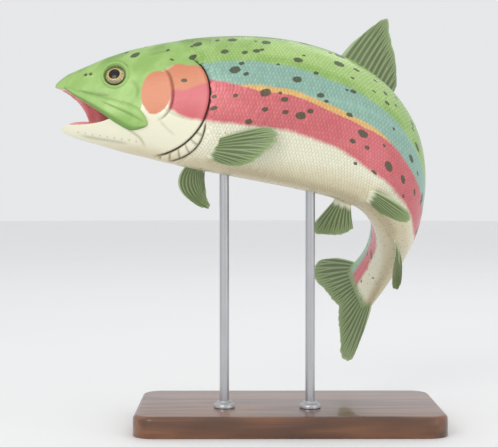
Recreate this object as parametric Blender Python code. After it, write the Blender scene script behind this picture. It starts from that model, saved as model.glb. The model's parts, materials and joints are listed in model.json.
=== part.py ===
"""Rainbow trout, life size, leaping with its tail curled under, on a rod stand.

The fish is modelled straight, head towards -X with its left side towards -Y,
then bent along the spine; the fins and the stand are made round the bent body.
Lengths are metres.  Body measures are fractions of the fork length.
"""
import math

import bmesh
import bpy
import numpy as np
from mathutils import Matrix, Vector

FORK_LENGTH = 0.500
GAP = 0.0004
RING_POINTS = 24
COVER_THICKNESS = 0.0035
MAXILLA_THICKNESS = 0.0018
EYE_RADIUS = 0.0092
EYE_DEPTH = 0.0055
EYE_SINK = 0.0035
FIN_ROOT = 0.0030
BASE_LENGTH = 0.260
BASE_WIDTH = 0.150
BASE_HEIGHT = 0.018
BASE_ROUND = 0.004
BASE_CORNER = 0.018
ROD_RADIUS = 0.004
ROD_SINK = 0.012
SOCKET_DEPTH = 0.022
COLLAR_RADIUS = 0.009
COLLAR_HEIGHT = 0.006
ROD_STATIONS = (0.300, 0.470)
REACH = 0.060
SQUARE = 0.94
NOSE = 0.022
NOSE_HEIGHT = -0.002
JAW_NARROWING = 0.08
THROAT = 0.130
CHEEK_THICKNESS = 0.0042
PALATE_RISE = 0.0060
JAW_FLOOR = (-0.070, 0.004)
JAW_FLOOR_DROP = 0.0035
HOLLOW_STATIONS = (0.016, 0.160)
HOLLOW_MIDDLE = 0.075
HOLLOW_REACH = 0.0853
HOLLOW_POINTS = 14
TONGUE_SIZE = (0.0170, 0.0062, 0.0040)
TONGUE_PLACE = (0.062, -0.0675)
TONGUE_LIFT = 0.0008
COVER_STATIONS = (0.130, 0.290)
MIDDLE_CLEARANCE = 0.003
SNOUT = Vector((-0.197, -0.024, 0.291))

# station, top of back, underside, half width
BODY_ROWS = (
    (0.000, 0.008, -0.060, 0.014),
    (0.020, 0.020, -0.080, 0.022),
    (0.045, 0.034, -0.089, 0.030),
    (0.080, 0.053, -0.096, 0.040),
    (0.120, 0.070, -0.104, 0.048),
    (0.160, 0.083, -0.110, 0.055),
    (0.200, 0.094, -0.116, 0.061),
    (0.300, 0.113, -0.126, 0.070),
    (0.400, 0.121, -0.131, 0.074),
    (0.500, 0.118, -0.130, 0.072),
    (0.600, 0.104, -0.116, 0.063),
    (0.700, 0.081, -0.090, 0.049),
    (0.780, 0.062, -0.065, 0.036),
    (0.860, 0.049, -0.050, 0.024),
    (0.910, 0.050, -0.050, 0.017),
    (0.930, 0.052, -0.052, 0.012),
    (0.945, 0.051, -0.051, 0.005),
)
# station, height of the widest line
WIDEST_ROWS = (
    (0.000, -0.030), (0.060, -0.045), (0.100, -0.050), (0.160, -0.036),
    (0.240, -0.018), (0.400, -0.008), (0.700, -0.004), (0.945, 0.000),
)
# station, pitch of the spine, turn away, roll (degrees)
POSE_ROWS = (
    (0.00, 5, 3, 6),
    (0.15, 5, 1, 6),
    (0.26, 6, 1, 8),
    (0.36, 9, 5, 12),
    (0.46, 18, 12, 22),
    (0.56, 40, 25, 39),
    (0.65, 71, 37, 64),
    (0.74, 94, 43, 90),
    (0.83, 109, 43, 111),
    (0.92, 127, 35, 130),
    (1.00, 148, 20, 144),
    (1.10, 160, 10, 149),
)
UPPER_LIP = ((0.004, -0.006), (0.022, -0.010), (0.048, -0.022), (0.075, -0.036), (0.106, -0.050))
LOWER_LIP = ((0.090, -0.058), (0.068, -0.064), (0.046, -0.067), (0.024, -0.069), (0.016, -0.073))
JAW_PLAN = (
    (0.0135, 0.0), (0.0150, 0.007), (0.021, 0.0135), (0.032, 0.020), (0.048, 0.027),
    (0.075, 0.037), (0.105, 0.047), (0.180, 0.070),
)
JAW_SIDE = ((0.106, -0.050), (0.125, -0.066), (0.152, -0.084), (0.166, -0.125))
MAXILLA_SIDE = (
    (0.016, -0.006), (0.046, -0.013), (0.078, -0.019), (0.108, -0.024), (0.134, -0.031),
    (0.152, -0.040), (0.162, -0.051), (0.163, -0.062), (0.154, -0.071), (0.138, -0.0735),
    (0.118, -0.067), (0.094, -0.053), (0.066, -0.037), (0.040, -0.022), (0.026, -0.0145),
)
COVER_SIDE = (
    (0.156, 0.032), (0.192, 0.050), (0.224, 0.046), (0.246, 0.026), (0.254, -0.005),
    (0.251, -0.035), (0.238, -0.062), (0.217, -0.084), (0.193, -0.100), (0.172, -0.106),
    (0.158, -0.098), (0.172, -0.066), (0.177, -0.030), (0.166, 0.004),
)
EYE_PLACE = (0.100, 0.020)
BODY_END = 0.945
TRUNK_CUTS = (0.200, 0.420, 0.640, 0.800)


class Curve:
    """Smooth curve through rows of (station, value, value, ...)."""

    def __init__(self, rows):
        table = np.array(rows, float)
        self.at = table[:, 0]
        self.value = table[:, 1:]
        self.slope = np.gradient(self.value, self.at, axis=0)

    def __call__(self, station):
        station = np.asarray(station, float)
        i = np.clip(np.searchsorted(self.at, station, side="right") - 1, 0, len(self.at) - 2)
        span = (self.at[i + 1] - self.at[i])[..., None]
        t = np.clip((station - self.at[i])[..., None] / span, 0, 1)
        start = (2 * t**3 - 3 * t**2 + 1) * self.value[i]
        start = start + (t**3 - 2 * t**2 + t) * span * self.slope[i]
        end = (3 * t**2 - 2 * t**3) * self.value[i + 1]
        return start + end + (t**3 - t**2) * span * self.slope[i + 1]


body_curve = Curve(BODY_ROWS)
widest_curve = Curve(WIDEST_ROWS)
pose_curve = Curve(POSE_ROWS)


def spine_frame(station):
    """Rearward, leftward and upward directions of the body at each station."""
    pitch, turn, roll = np.moveaxis(np.radians(pose_curve(station)), -1, 0)
    rear = np.stack([np.cos(turn) * np.cos(pitch), np.sin(turn), -np.cos(turn) * np.sin(pitch)], -1)
    out = np.stack([np.sin(pitch), 0 * pitch, np.cos(pitch)], -1)
    near = np.cross(out, -rear)
    up = np.cos(roll)[..., None] * out - np.sin(roll)[..., None] * near
    left = np.sin(roll)[..., None] * out + np.cos(roll)[..., None] * near
    return rear, left, up


def spine_line():
    station = np.linspace(-0.1, 1.2, 1301)
    rear = spine_frame(station)[0]
    step = (rear[1:] + rear[:-1]) / 2 * np.diff(station)[:, None] * FORK_LENGTH
    line = np.concatenate([np.zeros((1, 3)), np.cumsum(step, 0)])
    return station, line - line[np.searchsorted(station, 0.0)]


SPINE_STATIONS, SPINE = spine_line()


def bend(points):
    """Straight-fish points (x back, y right, z up, metres) to the leaping pose."""
    points = np.asarray(points, float)
    station = points[..., 0] / FORK_LENGTH
    centre = np.stack([np.interp(station, SPINE_STATIONS, SPINE[:, k]) for k in range(3)], -1)
    rear, left, up = spine_frame(station)
    return centre + np.array(SNOUT) - points[..., 1:2] * left + points[..., 2:3] * up


def body_at(station, grow=0.0):
    """Top, underside, half width and widest height, in metres, with the nose rounded."""
    top, under, half = body_curve(station)
    widest = widest_curve(station)[0]
    blunt = math.sqrt(1 - (1 - min(station / NOSE, 1)) ** 2)
    top = NOSE_HEIGHT + (top - NOSE_HEIGHT) * blunt
    half = half * blunt
    scale = FORK_LENGTH
    return top * scale + grow, under * scale - grow, half * scale + grow, widest * scale


def ring_point(station, angle, grow=0.0):
    """Point of the body's cross-section; angle 0 is the back, pi the belly, y>0 the right side."""
    top, under, half, widest = body_at(station, grow)
    side = math.copysign(abs(math.sin(angle)) ** SQUARE, math.sin(angle))
    rise = math.copysign(abs(math.cos(angle)) ** SQUARE, math.cos(angle))
    reach = top - widest if rise > 0 else widest - under
    ahead = max(0.0, min(1.0, (THROAT - station) / 0.03))
    narrow = 1.0 - JAW_NARROWING * ahead if rise < 0 else 1.0
    return station * FORK_LENGTH, half * side * narrow, widest + reach * rise


def half_width_at(station, height, grow=0.0):
    """Half width of the body at one height above the spine, metres."""
    top, under, half, widest = body_at(station, grow)
    reach = top - widest if height > widest else widest - under
    share = min(abs(height - widest) / reach, 0.9999)
    angle = math.acos(share ** (1 / SQUARE))
    return half * math.sin(angle) ** SQUARE


def collection(name):
    group = bpy.data.collections.new(name)
    bpy.context.scene.collection.children.link(group)
    return group


def add_object(name, mesh_builder, home):
    mesh = bpy.data.meshes.new(name)
    bmesh.ops.triangulate(mesh_builder, faces=mesh_builder.faces)
    bmesh.ops.recalc_face_normals(mesh_builder, faces=mesh_builder.faces)
    mesh_builder.to_mesh(mesh)
    mesh_builder.free()
    thing = bpy.data.objects.new(name, mesh)
    home.objects.link(thing)
    if home.name == "cutters":
        thing.hide_render = True
        thing.display_type = "WIRE"
    return thing


def tube(name, rings, home):
    """Closed body through rings of equal point counts, extruded ring by ring."""
    bm = bmesh.new()
    start = bmesh.ops.create_circle(bm, segments=len(rings[0]), radius=1.0)
    verts = list(start["verts"])
    for vert, place in zip(verts, rings[0]):
        vert.co = place
    loop = list(bm.edges)
    for ring in rings[1:]:
        grown = bmesh.ops.extrude_edge_only(bm, edges=loop)["geom"]
        loop = [item for item in grown if isinstance(item, bmesh.types.BMEdge)]
        made = {item for item in grown if isinstance(item, bmesh.types.BMVert)}
        pairs = [next(e.other_vert(v) for e in v.link_edges if e.other_vert(v) in made) for v in verts]
        verts = pairs
        for vert, place in zip(verts, ring):
            vert.co = place
    bmesh.ops.holes_fill(bm, edges=[e for e in bm.edges if e.is_boundary], sides=0)
    return add_object(name, bm, home)


def prism(name, outline, low, high, home, plan=False):
    """Outline of (station, height) swept across the fish, or of (station, across) swept up."""
    bm = bmesh.new()
    ring = bmesh.ops.create_circle(bm, segments=len(outline), radius=1.0, cap_ends=True)["verts"]
    for vert, (station, other) in zip(ring, outline):
        x, v = station * FORK_LENGTH, other * FORK_LENGTH
        vert.co = (x, v, low) if plan else (x, low, v)
    moved = bmesh.ops.extrude_face_region(bm, geom=list(bm.faces))["geom"]
    shift = Vector((0, 0, high - low)) if plan else Vector((0, high - low, 0))
    for item in moved:
        if isinstance(item, bmesh.types.BMVert):
            item.co += shift
    return add_object(name, bm, home)


def swelled(outline, amount):
    """The outline pushed outward by an amount in metres."""
    points = np.array(outline, float)
    before = points - np.roll(points, 1, 0)
    after = np.roll(points, -1, 0) - points
    before /= np.linalg.norm(before, axis=1)[:, None]
    after /= np.linalg.norm(after, axis=1)[:, None]
    area = np.sum(points[:, 0] * np.roll(points[:, 1], -1) - np.roll(points[:, 0], -1) * points[:, 1])
    sign = 1.0 if area > 0 else -1.0
    normal = np.stack([before[:, 1] + after[:, 1], -before[:, 0] - after[:, 0]], -1)
    normal /= np.linalg.norm(normal, axis=1)[:, None]
    bisect = np.sum(normal * np.stack([before[:, 1], -before[:, 0]], -1), 1)
    push = amount / FORK_LENGTH / np.maximum(bisect, 0.5)
    return [tuple(p) for p in points + sign * normal * push[:, None]]


def combine(target, other, operation):
    change = target.modifiers.new("combine", "BOOLEAN")
    change.operation = operation
    change.object = other
    change.solver = "EXACT"
    graph = bpy.context.evaluated_depsgraph_get()
    mesh = bpy.data.meshes.new_from_object(target.evaluated_get(graph))
    target.modifiers.clear()
    target.data = mesh
    return target


def copy_of(thing, name, home):
    twin = bpy.data.objects.new(name, thing.data.copy())
    home.objects.link(twin)
    return twin


def keep_between(thing, low, high):
    """Cut the straight body to the stations between low and high and close the cuts."""
    bm = bmesh.new()
    bm.from_mesh(thing.data)
    for place, normal in ((low, (-1, 0, 0)), (high, (1, 0, 0))):
        if place is None:
            continue
        geom = list(bm.verts) + list(bm.edges) + list(bm.faces)
        cut = bmesh.ops.bisect_plane(
            bm, geom=geom, plane_co=(place, 0, 0), plane_no=normal, clear_outer=True)
        edges = [e for e in cut["geom_cut"] if isinstance(e, bmesh.types.BMEdge)]
        bmesh.ops.holes_fill(bm, edges=edges, sides=0)
    bmesh.ops.recalc_face_normals(bm, faces=bm.faces)
    bm.to_mesh(thing.data)
    bm.free()


def tidy(thing):
    bm = bmesh.new()
    bm.from_mesh(thing.data)
    bmesh.ops.remove_doubles(bm, verts=bm.verts, dist=0.00002)
    bmesh.ops.dissolve_degenerate(bm, edges=bm.edges, dist=0.00002)
    bmesh.ops.triangulate(bm, faces=bm.faces)
    bmesh.ops.recalc_face_normals(bm, faces=bm.faces)
    bm.to_mesh(thing.data)
    bm.free()


def bend_object(thing):
    tidy(thing)
    coords = np.empty(len(thing.data.vertices) * 3)
    thing.data.vertices.foreach_get("co", coords)
    thing.data.vertices.foreach_set("co", bend(coords.reshape(-1, 3)).ravel())
    thing.data.update()


def loft_between(name, stations, grow, home):
    angles = [2 * math.pi * k / RING_POINTS for k in range(RING_POINTS)]
    return tube(name, [[ring_point(s, a, grow) for a in angles] for s in stations], home)


def body_loft(name, home, grow=0.0):
    """The whole body with a closed hull over the mouth gap."""
    stations = [0.0006, 0.003, 0.007, 0.013] + list(np.linspace(0.022, 0.930, 37)) + [0.938, BODY_END]
    if grow > 0:
        stations.append(BODY_END + grow / FORK_LENGTH)
    return loft_between(name, stations, grow, home)


def body_core(name, depth, home):
    """Body with its outside taken off to a depth, over the length of the gill covers."""
    return loft_between(name, np.linspace(*COVER_STATIONS, 12), -depth, home)


def mouth_gap(home):
    """Open space between the lips, running out in front of the lower jaw."""
    front = ((0.0105, -0.080), (0.0115, -0.090), (0.013, -0.120), (-0.020, -0.120), (-0.020, -0.006))
    return prism("mouth_gap", UPPER_LIP + LOWER_LIP + front, -REACH, REACH, home)


def mouth_hollow(home):
    """Palate above, floor of the mouth below, closing to the throat behind."""
    upper = Curve(UPPER_LIP)
    first, last = HOLLOW_STATIONS
    rings = []
    for station in np.linspace(first, last, 11):
        lip = upper(min(station, UPPER_LIP[-1][0]))[0] * FORK_LENGTH
        rise = JAW_FLOOR[1] * (station - first) / (last - first)
        floor = (JAW_FLOOR[0] + rise) * FORK_LENGTH
        close = math.sqrt(max(0.02, 1 - ((station - HOLLOW_MIDDLE) / HOLLOW_REACH) ** 2))
        half = (half_width_at(station, lip) - CHEEK_THICKNESS) * close
        high, low = lip + PALATE_RISE, floor - JAW_FLOOR_DROP
        middle = (high + low) / 2
        tall = (high - low) / 2 * (0.55 + 0.45 * close)
        ring = []
        for k in range(HOLLOW_POINTS):
            angle = 2 * math.pi * k / HOLLOW_POINTS
            ring.append((station * FORK_LENGTH, half * math.sin(angle), middle + tall * math.cos(angle)))
        rings.append(ring)
    return tube("mouth_hollow", rings, home)


def eye_frame(side):
    """Place and turn of an eye; side is -1 for the left, +1 for the right."""
    station, height = EYE_PLACE
    high = height * FORK_LENGTH
    centre = np.array([station * FORK_LENGTH, side * half_width_at(station, high), high])
    ahead = np.array([(station + 0.01) * FORK_LENGTH, side * half_width_at(station + 0.01, high), high])
    above = np.array([station * FORK_LENGTH, side * half_width_at(station, high + 0.004), high + 0.004])
    along = ahead - centre
    rise = above - centre
    normal = np.cross(along, rise)
    normal *= side * np.sign(normal[1]) / np.linalg.norm(normal)
    along /= np.linalg.norm(along)
    rise = np.cross(normal, along)
    turn = Matrix((along, rise, normal)).transposed().to_4x4()
    return Matrix.Translation(Vector(centre - normal * EYE_SINK)) @ turn


def eyeball(name, side, grow, home):
    bm = bmesh.new()
    bmesh.ops.create_uvsphere(bm, u_segments=14, v_segments=8, radius=1.0)
    size = Matrix.Diagonal((EYE_RADIUS + grow, EYE_RADIUS + grow, EYE_DEPTH + grow, 1.0))
    bmesh.ops.transform(bm, matrix=eye_frame(side) @ size, verts=bm.verts)
    return add_object(name, bm, home)


def side_name(side):
    return "left" if side < 0 else "right"


def span_on(side):
    """Reach across one half of the fish, clear of its middle."""
    return (-REACH, -MIDDLE_CLEARANCE) if side < 0 else (MIDDLE_CLEARANCE, REACH)


def gill_cover(side, hull, home, cutters):
    """Plate over the gills, with the clearance that parts it from head and trunk."""
    near, far = span_on(side)
    cover = prism("gill_cover_" + side_name(side), COVER_SIDE, near, far, home)
    combine(cover, hull, "INTERSECT")
    combine(cover, body_core("cover_lining", COVER_THICKNESS, cutters), "DIFFERENCE")
    near, far = (near, far + GAP) if side < 0 else (near - GAP, far)
    pocket = prism("cover_pocket_" + side_name(side), swelled(COVER_SIDE, GAP), near, far, cutters)
    combine(pocket, body_core("pocket_floor", COVER_THICKNESS + GAP, cutters), "DIFFERENCE")
    return cover, pocket


def maxilla(side, home, cutters):
    """Leaf-shaped upper jaw bone lying over the corner of the mouth."""
    bone = prism("maxilla_" + side_name(side), MAXILLA_SIDE, *span_on(side), home)
    combine(bone, body_loft("bone_outside", cutters, GAP + MAXILLA_THICKNESS), "INTERSECT")
    combine(bone, body_loft("bone_inside", cutters, GAP), "DIFFERENCE")
    return bone


def tongue(home):
    bm = bmesh.new()
    bmesh.ops.create_uvsphere(bm, u_segments=12, v_segments=8, radius=1.0)
    size = Matrix.Diagonal((*TONGUE_SIZE, 1.0))
    station, height = TONGUE_PLACE
    place = Matrix.Translation((station * FORK_LENGTH, 0, height * FORK_LENGTH + TONGUE_LIFT))
    bmesh.ops.transform(bm, matrix=place @ size, verts=bm.verts)
    return add_object("tongue", bm, home)


def cut_body(hull, home, cutters):
    """Head, lower jaw, gill covers, maxillae, eyes and trunk lengths, still straight."""
    pieces = []
    gap = mouth_gap(cutters)
    hollow = mouth_hollow(cutters)
    ends = [None] + [cut * FORK_LENGTH for cut in TRUNK_CUTS] + [None]
    names = ("head", "trunk_front", "trunk_middle", "trunk_rear", "tail_stalk")
    for name, low, high in zip(names, ends, ends[1:]):
        piece = copy_of(hull, name, home)
        low = low + GAP / 2 if low else None
        high = high - GAP / 2 if high else None
        keep_between(piece, low, high)
        pieces.append(piece)
    head, trunk_front = pieces[:2]
    jaw_side = JAW_SIDE + ((-0.02, -0.125), (-0.02, -0.050))
    jaw = copy_of(hull, "lower_jaw", home)
    combine(jaw, prism("jaw_region", jaw_side, -REACH, REACH, cutters), "INTERSECT")
    plan = JAW_PLAN + tuple((s, -w) for s, w in reversed(JAW_PLAN[1:]))
    combine(jaw, prism("jaw_plan", plan, -0.08, 0.0, cutters, plan=True), "INTERSECT")
    room = prism("jaw_room", swelled(jaw_side, GAP), -REACH, REACH, cutters)
    for piece in (jaw, head):
        combine(piece, gap, "DIFFERENCE")
        combine(piece, hollow, "DIFFERENCE")
    combine(head, room, "DIFFERENCE")
    pieces += [jaw, tongue(home)]
    for side in (-1, 1):
        cover, pocket = gill_cover(side, hull, home, cutters)
        combine(head, pocket, "DIFFERENCE")
        combine(trunk_front, pocket, "DIFFERENCE")
        eye = eyeball("eye_" + side_name(side), side, 0.0, home)
        combine(head, eyeball("eye_socket_" + side_name(side), side, GAP, cutters), "DIFFERENCE")
        pieces += [cover, eye, maxilla(side, home, cutters)]
    return pieces


class Fin:
    """Fan of rays standing on a line along the body.

    base: first and last root as (station, across, height) fractions
    frame: station whose body directions the rays are set in
    rows: share along the base, ray length, then in degrees lean back, cast, sweep and droop
    """

    def __init__(self, base, frame, rows, thickness, across, along):
        self.base = np.array(base, float) * FORK_LENGTH
        self.base[:, 1] *= -1
        self.frame = spine_frame(np.array(frame))
        self.rows = Curve(rows)
        self.thickness = thickness
        self.across = across
        self.along = along

    def direction(self, lean, cast):
        rear, left, up = self.frame
        lean, cast = math.radians(lean), math.radians(cast)
        side = math.cos(cast) * up + math.sin(cast) * left
        return math.sin(lean) * rear + math.cos(lean) * side

    def middle(self, share, out):
        """Point of the fin's middle sheet."""
        length, lean, cast, sweep, droop = self.rows(share)
        root = bend(self.base[0] * (1 - share) + self.base[1] * share)
        near = self.direction(lean, cast)
        far = self.direction(lean + sweep, cast + droop)
        return root - near * FIN_ROOT + (length * FORK_LENGTH + FIN_ROOT) * (
            near * out + (far - near) * out * out / 2)

    def point(self, share, out, side):
        middle = self.middle(share, out)
        step = 0.01
        along = self.middle(min(share + step, 1), out) - self.middle(max(share - step, 0), out)
        away = self.middle(share, out + step) - self.middle(share, out - step)
        normal = np.cross(along, away)
        normal /= np.linalg.norm(normal)
        thick = self.thickness * (1 - 0.55 * out)
        thick *= 0.45 + 0.55 * math.sqrt(max(0.0, 1 - (2 * share - 1) ** 8))
        return middle + normal * side * thick / 2


def fin_object(name, fin, home, hull):
    bm = bmesh.new()
    bmesh.ops.create_grid(bm, x_segments=fin.across, y_segments=fin.along, size=0.5)
    moved = bmesh.ops.extrude_face_region(bm, geom=list(bm.faces))["geom"]
    for item in moved:
        if isinstance(item, bmesh.types.BMVert):
            item.co.z += 1.0
    for vert in bm.verts:
        vert.co = fin.point(vert.co.x + 0.5, vert.co.y + 0.5, 2 * vert.co.z - 1)
    thing = add_object(name, bm, home)
    combine(thing, hull, "DIFFERENCE")
    tidy(thing)
    return thing


def fins():
    """Every fin by name.  Rows: share, length, lean back, cast, sweep, droop."""
    dorsal = Fin(((0.462, 0, 0.118), (0.566, 0, 0.110)), 0.51, (
        (0.00, 0.042, 13, 10, 6, 2), (0.10, 0.092, 11, 10, 8, 2), (0.22, 0.117, 9, 10, 8, 2),
        (0.45, 0.098, 7, 10, 8, 2), (0.75, 0.066, 5, 10, 6, 2), (1.00, 0.036, 4, 10, 6, 2)),
        0.0020, 9, 5)
    adipose = Fin(((0.775, 0, 0.062), (0.797, 0, 0.058)), 0.79, (
        (0.00, 0.034, 44, 0, 18, 3), (0.45, 0.044, 52, 0, 16, 3), (1.00, 0.034, 68, 0, 8, 3)),
        0.0032, 4, 5)
    anal = Fin(((0.700, 0, -0.089), (0.772, 0, -0.066)), 0.735, (
        (0.00, 0.050, 50, 114, 36, 18), (0.14, 0.094, 52, 118, 40, 20), (0.34, 0.102, 60, 128, 34, 16),
        (0.68, 0.082, 67, 148, 20, 10), (1.00, 0.052, 74, 172, 8, 6)),
        0.0020, 8, 5)
    lobe = (
        (0.00, 0.052, 36, 16, 4), (0.10, 0.106, 41, 13, 5), (0.24, 0.124, 50, 9, 5),
        (0.60, 0.092, 70, 2, 3), (1.00, 0.068, 88.5, 0, 0))
    upper = Fin(((0.918, 0, 0.050), (0.925, 0, 0.001)), 0.95,
                [(a, n, lean, 0, w, d) for a, n, lean, w, d in lobe], 0.0024, 8, 5)
    lower = Fin(((0.918, 0, -0.050), (0.925, 0, -0.001)), 0.95,
                [(a, n, lean, 180, w, d) for a, n, lean, w, d in lobe], 0.0024, 8, 5)
    table = {
        "dorsal_fin": dorsal, "adipose_fin": adipose, "anal_fin": anal,
        "caudal_fin_upper": upper, "caudal_fin_lower": lower,
    }
    table["pectoral_fin_left"] = Fin(((0.272, 0.0525, -0.080), (0.2655, 0.0375, -0.105)), 0.27, (
        (0.00, 0.083, 55, 50, 12, 0), (0.12, 0.110, 57, 56, 12, 0), (0.34, 0.114, 63, 72, 9, 0),
        (0.65, 0.086, 55, 112, 6, 0), (1.00, 0.030, 60, 136, 4, 0)),
        0.0022, 7, 5)
    table["pectoral_fin_right"] = Fin(((0.240, -0.0365, -0.102), (0.266, -0.035, -0.1075)), 0.25, (
        (0.00, 0.143, -47, 200, 111, 0), (0.14, 0.145, -39, 202, 109, 0), (0.36, 0.116, -27, 204, 89, 0),
        (0.66, 0.074, -15, 200, 57, 0), (1.00, 0.044, -8, 198, 19, 0)),
        0.0022, 7, 8)
    table["pelvic_fin_left"] = Fin(((0.562, 0.034, -0.1085), (0.573, 0.0125, -0.1175)), 0.57, (
        (0.00, 0.074, 42, 100, 36, 0), (0.16, 0.083, 47, 116, 20, 0), (0.40, 0.077, 52, 122, 13, 0),
        (0.70, 0.058, 56, 128, 6, 0), (1.00, 0.037, 58, 130, 3, 0)),
        0.0020, 7, 5)
    table["pelvic_fin_right"] = Fin(((0.553, -0.042, -0.108), (0.569, -0.016, -0.118)), 0.560, (
        (0.00, 0.060, 8, 248, 8, 0), (0.16, 0.077, 11, 245, 10, 0), (0.40, 0.073, 20, 239, 10, 0),
        (0.70, 0.062, 34, 230, 8, 0), (1.00, 0.046, 48, 220, 6, 0)),
        0.0020, 7, 5)
    return table


def cylinder(name, radius, low, high, place, home, segments=16):
    bm = bmesh.new()
    bmesh.ops.create_cone(
        bm, cap_ends=True, segments=segments, radius1=radius, radius2=radius, depth=high - low)
    bmesh.ops.translate(bm, vec=(place[0], place[1], (high + low) / 2), verts=bm.verts)
    return add_object(name, bm, home)


def stand_base(home):
    bm = bmesh.new()
    bmesh.ops.create_cube(bm, size=1.0)
    size = Matrix.Diagonal((BASE_LENGTH, BASE_WIDTH, BASE_HEIGHT, 1.0))
    lift = Matrix.Translation((0, 0, BASE_HEIGHT / 2))
    bmesh.ops.transform(bm, matrix=lift @ size, verts=bm.verts)
    upright = [e for e in bm.edges if abs(e.verts[0].co.z - e.verts[1].co.z) > 0.001]
    bmesh.ops.bevel(bm, geom=upright, offset=BASE_CORNER, segments=4, profile=0.5, affect="EDGES")
    rim = [e for e in bm.edges if min(v.co.z for v in e.verts) > BASE_HEIGHT - 0.001]
    bmesh.ops.bevel(bm, geom=rim, offset=BASE_ROUND, segments=2, profile=0.5, affect="EDGES")
    return add_object("stand_base", bm, home)


def belly_point(station):
    """Lowest point of the bent body's section at a station."""
    ring = [ring_point(station, 2 * math.pi * k / 240) for k in range(240)]
    bent = bend(np.array(ring))
    return bent[np.argmin(bent[:, 2])]


def stand(home, cutters, trunks):
    """Base, and two rods each let into the belly with a collar under it."""
    base = stand_base(home)
    pieces = [base]
    for name, station, trunk in zip(("front", "rear"), ROD_STATIONS, trunks):
        place = belly_point(station)
        bottom, top = BASE_HEIGHT - ROD_SINK, place[2] + SOCKET_DEPTH
        socket = cylinder("socket_" + name, ROD_RADIUS + GAP, bottom - GAP, top + GAP, place, cutters)
        for piece in (base, trunk):
            combine(piece, socket, "DIFFERENCE")
        pieces.append(cylinder("stand_rod_" + name, ROD_RADIUS, bottom, top, place, home))
        low = BASE_HEIGHT + GAP
        collar = cylinder(
            "stand_collar_" + name, COLLAR_RADIUS, low, low + COLLAR_HEIGHT, place, home)
        combine(collar, socket, "DIFFERENCE")
        pieces.append(collar)
    for piece in pieces:
        tidy(piece)
    for trunk in trunks:
        tidy(trunk)
    return pieces


COLOURS = {
    "head": (0.30, 0.45, 0.18), "lower_jaw": (0.80, 0.79, 0.62), "maxilla": (0.36, 0.50, 0.24),
    "gill_cover": (0.72, 0.34, 0.26), "eye": (0.02, 0.02, 0.02), "tongue": (0.55, 0.20, 0.20),
    "trunk_front": (0.62, 0.30, 0.30), "trunk_middle": (0.60, 0.29, 0.29),
    "trunk_rear": (0.64, 0.36, 0.34), "tail_stalk": (0.66, 0.50, 0.42), "stand_base": (0.20, 0.11, 0.06),
    "stand_rod": (0.60, 0.60, 0.62), "stand_collar": (0.55, 0.55, 0.57),
}
METAL_PARTS = ("stand_rod", "stand_collar")


def paint(thing):
    """Give a sub-part a material of its own."""
    kind = max((k for k in COLOURS if thing.name.startswith(k)), key=len, default=None)
    colour = COLOURS.get(kind, (0.22, 0.28, 0.12))
    material = bpy.data.materials.new(thing.name)
    material.use_nodes = True
    shader = material.node_tree.nodes["Principled BSDF"]
    shader.inputs["Base Color"].default_value = (*colour, 1.0)
    shader.inputs["Roughness"].default_value = 0.35
    shader.inputs["Metallic"].default_value = 1.0 if kind in METAL_PARTS else 0.0
    thing.data.materials.clear()
    thing.data.materials.append(material)


def main():
    for thing in list(bpy.data.objects):
        bpy.data.objects.remove(thing)
    home = collection("rainbow_trout")
    cutters = collection("cutters")
    hull = body_loft("hull", cutters)
    pieces = cut_body(hull, home, cutters)
    for piece in pieces:
        bend_object(piece)
    skin = body_loft("fin_clearance", cutters, GAP)
    bend_object(skin)
    for name, fin in fins().items():
        pieces.append(fin_object(name, fin, home, skin))
    trunks = [bpy.data.objects["trunk_front"], bpy.data.objects["trunk_middle"]]
    pieces += stand(home, cutters, trunks)
    for piece in pieces:
        paint(piece)


main()
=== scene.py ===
import json
import math
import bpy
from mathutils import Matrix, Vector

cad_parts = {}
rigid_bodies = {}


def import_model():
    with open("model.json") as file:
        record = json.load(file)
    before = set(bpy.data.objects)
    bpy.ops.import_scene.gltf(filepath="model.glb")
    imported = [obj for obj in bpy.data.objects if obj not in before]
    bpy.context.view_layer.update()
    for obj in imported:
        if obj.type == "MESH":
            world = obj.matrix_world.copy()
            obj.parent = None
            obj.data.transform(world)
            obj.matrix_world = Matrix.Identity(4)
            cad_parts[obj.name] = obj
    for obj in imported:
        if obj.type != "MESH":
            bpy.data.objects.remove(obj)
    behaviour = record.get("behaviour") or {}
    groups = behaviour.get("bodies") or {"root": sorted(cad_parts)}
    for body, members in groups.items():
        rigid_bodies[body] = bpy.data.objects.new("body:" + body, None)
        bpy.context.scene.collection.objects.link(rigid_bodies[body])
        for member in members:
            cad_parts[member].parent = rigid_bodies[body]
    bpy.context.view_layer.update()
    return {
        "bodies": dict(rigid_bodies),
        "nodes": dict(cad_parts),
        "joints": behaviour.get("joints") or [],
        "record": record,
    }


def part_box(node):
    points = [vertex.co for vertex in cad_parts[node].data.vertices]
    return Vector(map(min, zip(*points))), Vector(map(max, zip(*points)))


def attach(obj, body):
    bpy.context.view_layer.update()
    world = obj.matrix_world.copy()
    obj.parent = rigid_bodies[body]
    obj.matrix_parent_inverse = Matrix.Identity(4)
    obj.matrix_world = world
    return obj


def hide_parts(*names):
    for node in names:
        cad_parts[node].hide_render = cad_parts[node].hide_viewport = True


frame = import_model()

from types import SimpleNamespace

import bmesh
import bpy
import numpy as np
from bpy.props import FloatProperty, FloatVectorProperty, IntProperty, PointerProperty
from mathutils import Matrix, Vector

bl_info = {
    "name": "Rainbow Trout on a Stand",
    "version": (1, 0, 0),
    "blender": (4, 5, 0),
    "location": "3D View > Sidebar > Trout",
    "description": "Builds a life-size leaping rainbow trout held on a rod stand",
    "category": "Add Mesh",
}

BODY = "root"
SEED = 20
SIDES = ((-1, "left"), (1, "right"))

# The fish is modelled straight, head towards -X and its left side towards -Y, then bent.
# Stations, heights and widths are fractions of the fork length; a station counts from the snout.
FORK = 0.500
SNOUT = Vector((-0.197, -0.024, 0.291))
# power of the body's oval section; 1 is an ellipse
SQUARE = 0.94
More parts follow.
